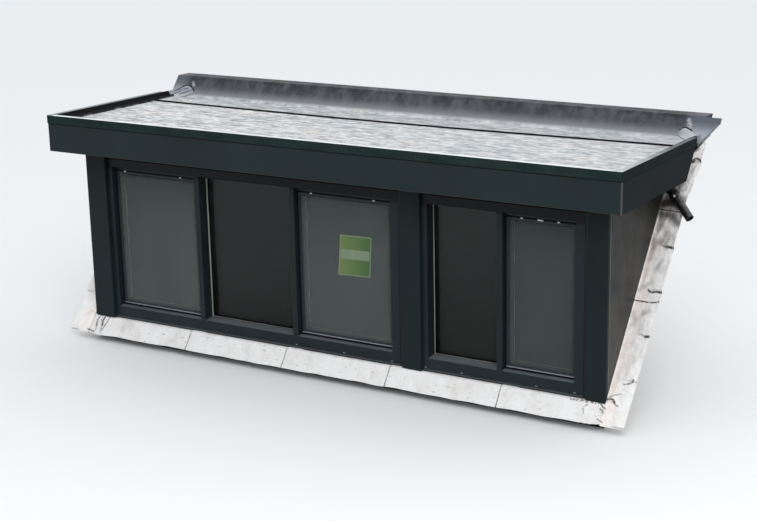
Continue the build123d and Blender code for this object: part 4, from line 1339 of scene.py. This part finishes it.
screen_mesh, tree, shader = new_finish("screen_mesh", 0.65, specular=0.2)
thread_gap = 0.0016
weave = []
for name in ("X", "Z"):
    turn = math(tree, "MULTIPLY", axis(tree, name), pi / thread_gap)
    weave.append(math(tree, "ABSOLUTE", math(tree, "SINE", turn, 0.0), 0.0))
thread = math(tree, "MINIMUM", *weave)
tree.links.new(grey_ramp(tree, thread, 0.2, 0.6, 0.53, 0.26), shader.inputs["Alpha"])
dusty = cloud(tree, 2.2, detail=4, stretch=(1, 1, 0.7))
mesh_tone = ramp(tree, dusty, [(0.3, "6b7371"), (0.7, "79807e")])
on_right = grey_ramp(tree, axis(tree, "X"), 0.6, 1.2, 0.0, 0.6)
tree.links.new(mix(tree, on_right, mesh_tone, "4d5452"), shader.inputs["Base Color"])
print("mesh threads every", thread_gap, "m")

# %% [markdown]
# The screens' frames, the brushes round them and the seals round the glass are
# the same shape, so one helper makes them all: a plane is inset, its middle
# face is deleted, and the rest is extruded. The corners come out mitred, as on
# the real frame. Strips, clips and caps start as a cube and get eased edges.

# %% A ring for frames, brushes and seals, and a bar
def ring(name, low, high, face):
    """A rectangular frame seen from the front, inset for its opening."""
    bpy.ops.mesh.primitive_plane_add(size=1, rotation=(pi / 2, 0, 0))
    piece = bpy.context.object
    piece.name = name
    piece.location = ((low.x + high.x) / 2, high.y, (low.z + high.z) / 2)
    piece.scale = (high.x - low.x, high.z - low.z, 1)
    bpy.ops.object.transform_apply(location=True, rotation=True, scale=True)
    bpy.ops.object.mode_set(mode="EDIT")
    bpy.ops.mesh.select_all(action="SELECT")
    bpy.ops.mesh.inset(thickness=face, depth=0)
    bpy.ops.mesh.delete(type="FACE")
    bpy.ops.mesh.select_all(action="SELECT")
    bpy.ops.mesh.extrude_region_move(TRANSFORM_OT_translate={"value": (0, low.y - high.y, 0)})
    bpy.ops.mesh.select_all(action="SELECT")
    bpy.ops.mesh.normals_make_consistent(inside=False)
    bpy.ops.object.mode_set(mode="OBJECT")
    return piece


def bar(name, low, high, easing, segments=2):
    """A straight bar between two corners, with its edges eased."""
    bpy.ops.mesh.primitive_cube_add(size=1)
    piece = bpy.context.object
    piece.name = name
    piece.location = (low + high) / 2
    piece.scale = high - low
    bpy.ops.object.transform_apply(location=True, rotation=True, scale=True)
    finish_with(piece, "BEVEL", width=easing, segments=segments)
    return piece

# %% [markdown]
# The same ring makes the frame and the black brush round it, painted shade
# for the gap. A flat black brush lies on the sill, painted shade under the
# screen's foot, and a bright strip runs along the frame's foot, where it
# catches the light. The mesh hangs back a hair in its middle, as a taut net
# does.

# %% Screens with their brushes, strips and mesh
screen_face = 0.026
mesh_depth = 0.004
mesh_tuck = 0.004
brush = 0.008
for node in ("left_screen", "centre_screen", "right_screen"):
    outer_low, outer_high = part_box(node)
    low = outer_low + Vector((brush, 0, 0))
    high = outer_high - Vector((brush, 0, brush))
    frame_piece = ring("frame_of_" + node, low, high, screen_face - brush)
    finish_with(frame_piece, "BEVEL", width=0.0022, segments=3)
    bpy.ops.object.shade_smooth_by_angle(angle=radians(35))
    settle(frame_piece, screen_foil, (node,))

    # Black brushes round the screen and on the sill: painted shade for the gaps.
    brush_low = outer_low + Vector((0, 0.0015, 0))
    brush_high = outer_high - Vector((0, 0.0015, 0))
    gap_shade_ring = ring("shade_brush_of_" + node, brush_low, brush_high, brush + 0.002)
    sill_shade_brush = bar(
        "sill_shade_brush",
        Vector((outer_low.x, outer_low.y - 0.012, outer_low.z - 0.004)),
        Vector((outer_high.x, outer_low.y + 0.003, outer_low.z + 0.001)),
        0.001,
    )
    shade_brushes = join("shade_brush_of_" + node, [gap_shade_ring, sill_shade_brush])
    settle(shade_brushes, seal_black)

    foot = bar(
        "foot_of_" + node,
        Vector((low.x, low.y - 0.0035, low.z + 0.001)),
        Vector((high.x, low.y + 0.004, low.z + 0.0085)),
        0.0022, 3,
    )
    bpy.ops.object.shade_smooth_by_angle(angle=radians(40))
    settle(foot, screen_edge)

    def place(across, along):
        wide = high.x - low.x - 2 * screen_face + 2 * mesh_tuck
        tall = high.z - low.z - 2 * screen_face + 2 * mesh_tuck
        x = low.x + screen_face - mesh_tuck + wide * across
        z = low.z + screen_face - mesh_tuck + tall * along
        sag = 0.0015 * sin(pi * across) * sin(pi * along)
        return Vector((x, low.y + mesh_depth + sag, z))

    mesh_piece = laid_sheet("mesh_of_" + node, 24, 32, place)
    finish_with(mesh_piece, "SOLIDIFY", thickness=0.0004, offset=0)
    bpy.ops.object.shade_smooth()
    settle(mesh_piece, screen_mesh)

# %% [markdown]
# ## Clips and drain caps
#
# Turning clips hold each screen in the reveal. They are tiny, but they catch
# the light as bright points in a dark front, and so do the caps at the foot of
# the frames. One of the clips is a longer one.

# %% Clips on the screens
clip_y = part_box("left_screen")[0].y
clip_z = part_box("left_screen")[1].z - 0.006
clip_places = (-1.789, -1.278, -0.146, 0.360, 1.468, 1.600, 1.728)
long_clip = 1.600
for number, x in enumerate(clip_places):
    reach = 0.020 if x == long_clip else 0.009
    clip = bar(
        "screen_clip_%d" % number,
        Vector((x - reach, clip_y - 0.007, clip_z - 0.006)),
        Vector((x + reach, clip_y, clip_z + 0.006)),
        0.003, 3,
    )
    bpy.ops.object.shade_smooth_by_angle(angle=radians(40))
    settle(clip, clip_metal)

# %% [markdown]
# Water that gets into a frame runs out through slots at its foot, and a small
# cap covers each slot. It is made as a clip is, but lower and flatter.

# %% Caps over the drain slots
cap_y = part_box("left_window_frame")[0].y
cap_places = (-0.282, 0.118, 0.505, 0.771, 1.047, 1.598, 1.871)
for number, x in enumerate(cap_places):
    cap = bar(
        "drain_cap_%d" % number,
        Vector((x - 0.008, cap_y - 0.0025, foot_z + 0.0285)),
        Vector((x + 0.008, cap_y + 0.0005, foot_z + 0.0345)),
        0.0015, 3,
    )
    bpy.ops.object.shade_smooth_by_angle(angle=radians(40))
    settle(cap, cap_grey)

# %% [markdown]
# ## Installer's card
#
# A fitter's card is stuck on the screen of the third window. It's kept plain
# here: a green card with a pale rim and band, and nothing written on it. It
# hangs slightly askew, as such cards do.

# %% Card on the screen
card_green, tree, shader = new_finish("card_green", 0.4, specular=0.4)
slant = math(tree, "MULTIPLY", axis(tree, "Z"), -0.08)
sideways = math(tree, "ADD", axis(tree, "X"), slant)
green_share = grey_ramp(tree, sideways, 0.0, 0.28)
green = ramp(tree, green_share, [(0.1, "6f834b"), (0.9, "3b6636")])
tree.links.new(green, shader.inputs["Base Color"])
card_white, tree, shader = new_finish("card_white", 0.4, specular=0.4)
two_shades(tree, shader, 20.0, "7d8f74", "8c9c83")

card_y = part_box("centre_screen")[0].y + mesh_depth - 0.0004
corner_places = ((0.056, 0.576), (0.315, 0.585), (0.332, 0.868), (0.079, 0.864))
corners = [site(x, 0, z) for x, z in corner_places]


def card_layer(name, shrink, depth, low=0.0, high=1.0):
    """A thin card inside the corners, a share of its height tall."""
    def place(across, along):
        a = shrink + (1 - 2 * shrink) * across
        b = shrink + (1 - 2 * shrink) * (low + (high - low) * along)
        foot = corners[0].lerp(corners[1], a)
        head = corners[3].lerp(corners[2], a)
        point = foot.lerp(head, b)
        return Vector((point.x, card_y - depth, point.z))

    layer = laid_sheet(name, 6, 6, place)
    finish_with(layer, "SOLIDIFY", thickness=0.0002, offset=0)
    return layer


settle(card_layer("card_rim", 0.0, 0.0003), card_white)
settle(card_layer("card_face", 0.025, 0.0006), card_green)
settle(card_layer("card_band", 0.04, 0.0009, 0.40, 0.66), card_white)

# %% [markdown]
# ## Seals round the glass
#
# A black rubber seal closes each pane against its frame. It's a slim ring
# with a round front, just proud of the glass.

# %% Seals
seal_face = 0.003
seal_proud = 0.002
mullion = 0.041
sash_rim = 0.033
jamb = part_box("left_screen")[0].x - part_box("left_window_frame")[0].x
glass_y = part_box("sash_glass")[0].y
bay_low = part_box("sash_glass")[0].z - sash_rim
bay_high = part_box("sash_glass")[1].z + sash_rim
sash_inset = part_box("sash_glass")[0].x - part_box("left_screen")[0].x + 0.012
seals = []
for node in ("left_screen", "centre_screen", "right_screen"):
    low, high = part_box(node)
    low = Vector((low.x + sash_inset, glass_y - seal_proud, bay_low + sash_inset))
    high = Vector((high.x - sash_inset, glass_y, bay_high - sash_inset))
    seals.append(ring("seal", low, high, seal_face))
fixed_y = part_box("fixed_glass")[0].y
fixed_spans = (
    (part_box("left_screen")[1].x + mullion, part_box("centre_screen")[0].x - mullion),
    (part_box("right_window_frame")[0].x + jamb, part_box("right_screen")[0].x - mullion),
)
for x_from, x_to in fixed_spans:
    low = Vector((x_from, fixed_y - seal_proud, bay_low))
    seals.append(ring("seal", low, Vector((x_to, fixed_y, bay_high)), seal_face))
seal_rings = join("glass_seals", seals)
finish_with(seal_rings, "BEVEL", width=0.0008, segments=2)
settle(seal_rings, seal_black)

# %% [markdown]
# ## Seam and folds in the roofing
#
# The sheet that comes down from the roof laps over the flat one, and a bead
# of black sealant closes that seam from one kerb to the other. The lap was
# cut and rolled down by hand, so its edge isn't straight: it runs on a smooth
# curve through a few places measured in the photograph.

# %% The lap's edge and its sealant
def on_curve(places, share):
    """A place on the smooth curve through several places, a share of the way along."""
    spots = [Vector(place) for place in places]
    last = len(spots) - 1
    i = min(int(share * last), last - 1)
    t = share * last - i
    before, after = spots[max(i - 1, 0)], spots[min(i + 2, last)]
    a, b = spots[i], spots[i + 1]
    slow = 2 * a + (b - before) * t
    bend_in = (2 * before - 5 * a + 4 * b - after) * t * t
    return (slow + bend_in + (3 * a - before - 3 * b + after) * t ** 3) / 2


lap_sheet = 0.0008
bead_half = 0.013
bead_height = 0.0095
seam_places = (
    (-2.184, 0.930), (-1.46, 0.903), (-0.73, 0.882), (0.0, 0.876),
    (0.73, 0.886), (1.46, 0.920), (2.184, 0.955),
)


def lap_place(across, along):
    """A point on the lapped sheet, from its curved edge back over the straight step."""
    edge = on_curve(seam_places, across)
    back = edge.y + (seam_back + 0.03 - edge.y) * along
    return Vector((edge.x, front_y + back, flat_top + lap_sheet))


def bead_place(across, along):
    """A point on the round bead that follows the lap's edge."""
    edge = on_curve(seam_places, along)
    turn = pi * across
    back = front_y + edge.y - bead_half * cos(turn)
    return Vector((edge.x, back, flat_top - 0.003 + bead_height * sin(turn)))


lap = laid_sheet("seam_lap", 160, 4, lap_place)
finish_with(lap, "SOLIDIFY", thickness=lap_sheet, offset=-1)
settle(lap, membrane)
bead = laid_sheet("seam_bead", 10, 160, bead_place)
finish_with(bead, "SOLIDIFY", thickness=0.001, offset=-1)
bpy.ops.object.shade_smooth_by_angle(angle=radians(60))
settle(bead, seal_black)

# %% [markdown]
# At both rear corners the sheet has to turn in three directions at once, and
# the roofer folds the surplus into a flap that lies against the upstand. The
# flap's upper edge is a curve that runs through a few measured places, and
# the sheet swells a little under it. On the left a soft roll lies on the
# flap, and on the right the ear ends in a hem. A black tab lies in the hollow
# under each kerb's rear end, as painted shade.

# %% Folded corners and the ear's hem
folded, tree, shader = new_finish("folded_membrane", 0.55, specular=0.15)
creases = cloud(tree, 1.0, detail=3, stretch=(9, 5, 14), roughness=0.5)
right_tone = ramp(tree, creases, [(0.35, "9ea2a7"), (0.65, "c4c6c8")])
# Painted shade: the right flap is darker blue-grey at its end beside the fold.
fold_side_shade = grey_ramp(tree, axis(tree, "X"), 2.074, 2.112, 1.0, 0.0)
right_tone = mix(tree, fold_side_shade, right_tone, "7f858d")
left_tone = ramp(tree, creases, [(0.35, "868c94"), (0.65, "a2a7ae")])
at_foot = grey_ramp(tree, axis(tree, "Z"), flat_top + 0.004, flat_top + 0.040, 1.0, 0.0)
left_tone = mix(tree, at_foot, left_tone, "c6c9cc")
right_tone = mix(tree, math(tree, "MULTIPLY", at_foot, 0.8), right_tone, "c9cbcc")
on_right = math(tree, "GREATER_THAN", axis(tree, "X"), 0.0)
fold_tone = mix(tree, on_right, left_tone, right_tone)
place = slope_place(tree)
# Painted shadow lines in the creases of the left corner's folds.
fold_shadow_lines = (
    (((-2.222, 1.912), (-2.180, 1.934), (-2.148, 1.950)), 0.010),
    (((-2.143, 1.926), (-2.090, 1.946), (-2.046, 1.971)), 0.010),
    (((-2.170, 1.958), (-2.120, 1.978), (-2.080, 1.976)), 0.008),
)
for points, width in fold_shadow_lines:
    crease = dirt_and_shade_path(tree, place, points, width, core=0.2)
    fold_tone = mix(tree, math(tree, "MULTIPLY", crease, 0.85), fold_tone, "4a515b")
tree.links.new(fold_tone, shader.inputs["Base Color"])
bump(tree, shader, creases, 0.002, 0.3)

hem_finish, tree, shader = new_finish("ear_hem", 0.55, specular=0.15)
two_shades(tree, shader, 40.0, "6c727a", "8d939b")
print("creases on the folds:", len(fold_shadow_lines))

# %% [markdown]
# A flap is a grid between two curves on the slope, its free edge and its foot,
# and it swells a little in its middle. A roll is a grid that is bent half
# round a path, and it gets thinner at both ends.

# %% Shapes of the flaps and the rolls
def corner_flap(name, top_edge, foot_edge):
    """Surplus membrane folded against the upstand, between a curved edge and its foot."""
    def place(across, along):
        edge, foot = on_curve(top_edge, across), on_curve(foot_edge, across)
        spot = foot.lerp(edge, along)
        ends = min(across, 1 - across) / 0.15
        swell = 0.0045 + 0.007 * sin(pi * (0.2 + 0.75 * along)) * min(ends, 1.0)
        pleat = 0.002 * sin(3 * pi * across + 2.0 * along) * along
        return on_slope(spot.x, spot.y, swell + pleat)

    flap = laid_sheet(name, 60, 20, place)
    finish_with(flap, "SOLIDIFY", thickness=0.003, offset=-1)
    bpy.ops.object.shade_smooth_by_angle(angle=radians(50))
    return flap


def roll(name, path, radius):
    """A soft roll along a path on the slope, thinner at both ends."""
    def place(across, along):
        middle = on_curve(path, along)
        after = on_curve(path, min(along + 0.02, 1.0))
        ahead = after - on_curve(path, max(along - 0.02, 0.0))
        aside = Vector((-ahead.y, ahead.x)).normalized()
        swell = radius * (0.45 + 0.55 * sin(pi * along) ** 0.5)
        turn = pi * across
        spot = middle + aside * (cos(turn) * swell)
        return on_slope(spot.x, spot.y, 0.0012 + sin(turn) * swell)

    piece = laid_sheet(name, 10, 48, place)
    finish_with(piece, "SOLIDIFY", thickness=0.0015, offset=0)
    bpy.ops.object.shade_smooth_by_angle(angle=radians(60))
    return piece

# %% [markdown]
# The places of the edges were measured on the slope: across from the middle,
# and up from the foot of the front.

# %% Flaps, shade tabs, hem and roll in place
right_edge = (
    (2.070, 1.952), (2.084, 1.974), (2.104, 1.996), (2.132, 1.995),
    (2.166, 1.978), (2.200, 1.959), (2.230, 1.940),
)
right_foot = (
    (2.074, 1.944), (2.092, 1.934), (2.116, 1.922), (2.146, 1.912),
    (2.176, 1.904), (2.204, 1.900), (2.230, 1.898),
)
left_edge = (
    (-2.232, 1.928), (-2.180, 1.966), (-2.135, 1.996),
    (-2.088, 2.006), (-2.045, 1.982), (-2.024, 1.950),
)
left_foot = (
    (-2.232, 1.898), (-2.186, 1.900), (-2.142, 1.904),
    (-2.098, 1.912), (-2.058, 1.926), (-2.030, 1.942),
)
settle(corner_flap("right_corner_fold", right_edge, right_foot), folded)
settle(corner_flap("left_corner_fold", left_edge, left_foot), folded)
# Black tabs under the kerbs' rear ends: painted shade for the hollow there.
for side, name in ((-1, "left_shade_tab"), (1, "right_shade_tab")):
    def place(across, along):
        x = side * (2.196 + 0.042 * across)
        return on_slope(x, 1.800 + 0.106 * along, 0.0008)

    tab = laid_sheet(name, 6, 12, place)
    finish_with(tab, "SOLIDIFY", thickness=0.001, offset=0)
    settle(tab, seal_black)
ear_path = ((2.243, 1.888), (2.262, 1.916), (2.290, 1.960), (2.320, 2.008), (2.346, 2.048))
settle(roll("ear_hem", ear_path, 0.006), hem_finish)
left_roll = ((-2.222, 1.917), (-2.180, 1.938), (-2.150, 1.950))
settle(roll("left_corner_roll", left_roll, 0.005), hem_finish)

# %% [markdown]
# ## Light and floor
#
# A cloudy sky, brighter overhead than at the horizon, gives soft and even
# light, and one large lamp in front, up and to the right gives the faces a
# direction. The camera sees plain white instead of that sky. The floor looks
# pale to it too, and throws back less light than it seems to, because a real
# dormer stands over a dark roof.

# %% Sky
def seen_rays(tree, path):
    """A mask for the rays that the camera sees straight, mirrored or through glass."""
    seen = math(
        tree, "MAXIMUM", path.outputs["Is Camera Ray"], path.outputs["Is Transmission Ray"]
    )
    return math(tree, "MAXIMUM", seen, path.outputs["Is Glossy Ray"])


world = bpy.data.worlds.new("soft_sky")
bpy.context.scene.world = world
world.use_nodes = True
sky_tree = world.node_tree
sky = sky_tree.nodes["Background"]
sky.inputs["Color"].default_value = (0.93, 0.96, 1.0, 1)
gaze = sky_tree.nodes.new("ShaderNodeTexCoord")
height = sky_tree.nodes.new("ShaderNodeSeparateXYZ")
sky_tree.links.new(gaze.outputs["Generated"], height.inputs["Vector"])
at_horizon, overhead = 0.55, 1.15
sky_level = grey_ramp(sky_tree, height.outputs["Z"], 0.0, 0.9, at_horizon, overhead)
sky_tree.links.new(sky_level, sky.inputs["Strength"])
backdrop = sky_tree.nodes.new("ShaderNodeBackground")
backdrop.inputs["Color"].default_value = (1, 1, 1, 1)
backdrop.inputs["Strength"].default_value = 1.0
seen = sky_tree.nodes.new("ShaderNodeMixShader")
world_path = sky_tree.nodes.new("ShaderNodeLightPath")
clear_view = seen_rays(sky_tree, world_path)
sky_tree.links.new(clear_view, seen.inputs["Fac"])
sky_tree.links.new(sky.outputs["Background"], seen.inputs[1])
sky_tree.links.new(backdrop.outputs["Background"], seen.inputs[2])
sky_tree.links.new(seen.outputs["Shader"], sky_tree.nodes["World Output"].inputs["Surface"])
print("sky level from", at_horizon, "at the horizon to", overhead, "overhead")

# %% [markdown]
# The lamp is a wide disk, because a wide light gives soft shadows. The floor
# is one large plane just under the dormer's lowest point.

# %% Lamp and floor
lamp_data = bpy.data.lights.new("soft_lamp", "AREA")
lamp_data.shape = "DISK"
lamp_data.size = 8.0
lamp_data.energy = 520.0
lamp = bpy.data.objects.new("soft_lamp", lamp_data)
bpy.context.scene.collection.objects.link(lamp)
lamp.location = (7.0, -8.0, 8.5)
lamp_aim = Vector((0, 0, 0.6)) - lamp.location
lamp.rotation_euler = lamp_aim.to_track_quat("-Z", "Y").to_euler()

floor_finish, tree, shader = new_finish("pale_floor", 0.9, specular=0.1)
path = tree.nodes.new("ShaderNodeLightPath")
floor_tone = mix(tree, seen_rays(tree, path), "8d8d8d", "f2f2f1")
tree.links.new(floor_tone, shader.inputs["Base Color"])
bpy.ops.mesh.primitive_plane_add(size=160, location=(0, 40, cad_box[0].z - 0.001))
ground = bpy.context.object
ground.name = "floor"
ground.data.materials.append(floor_finish)
print("light and floor ready")

# %% Print the parts' box
print("parts box", [round(v, 4) for c in cad_box for v in c])
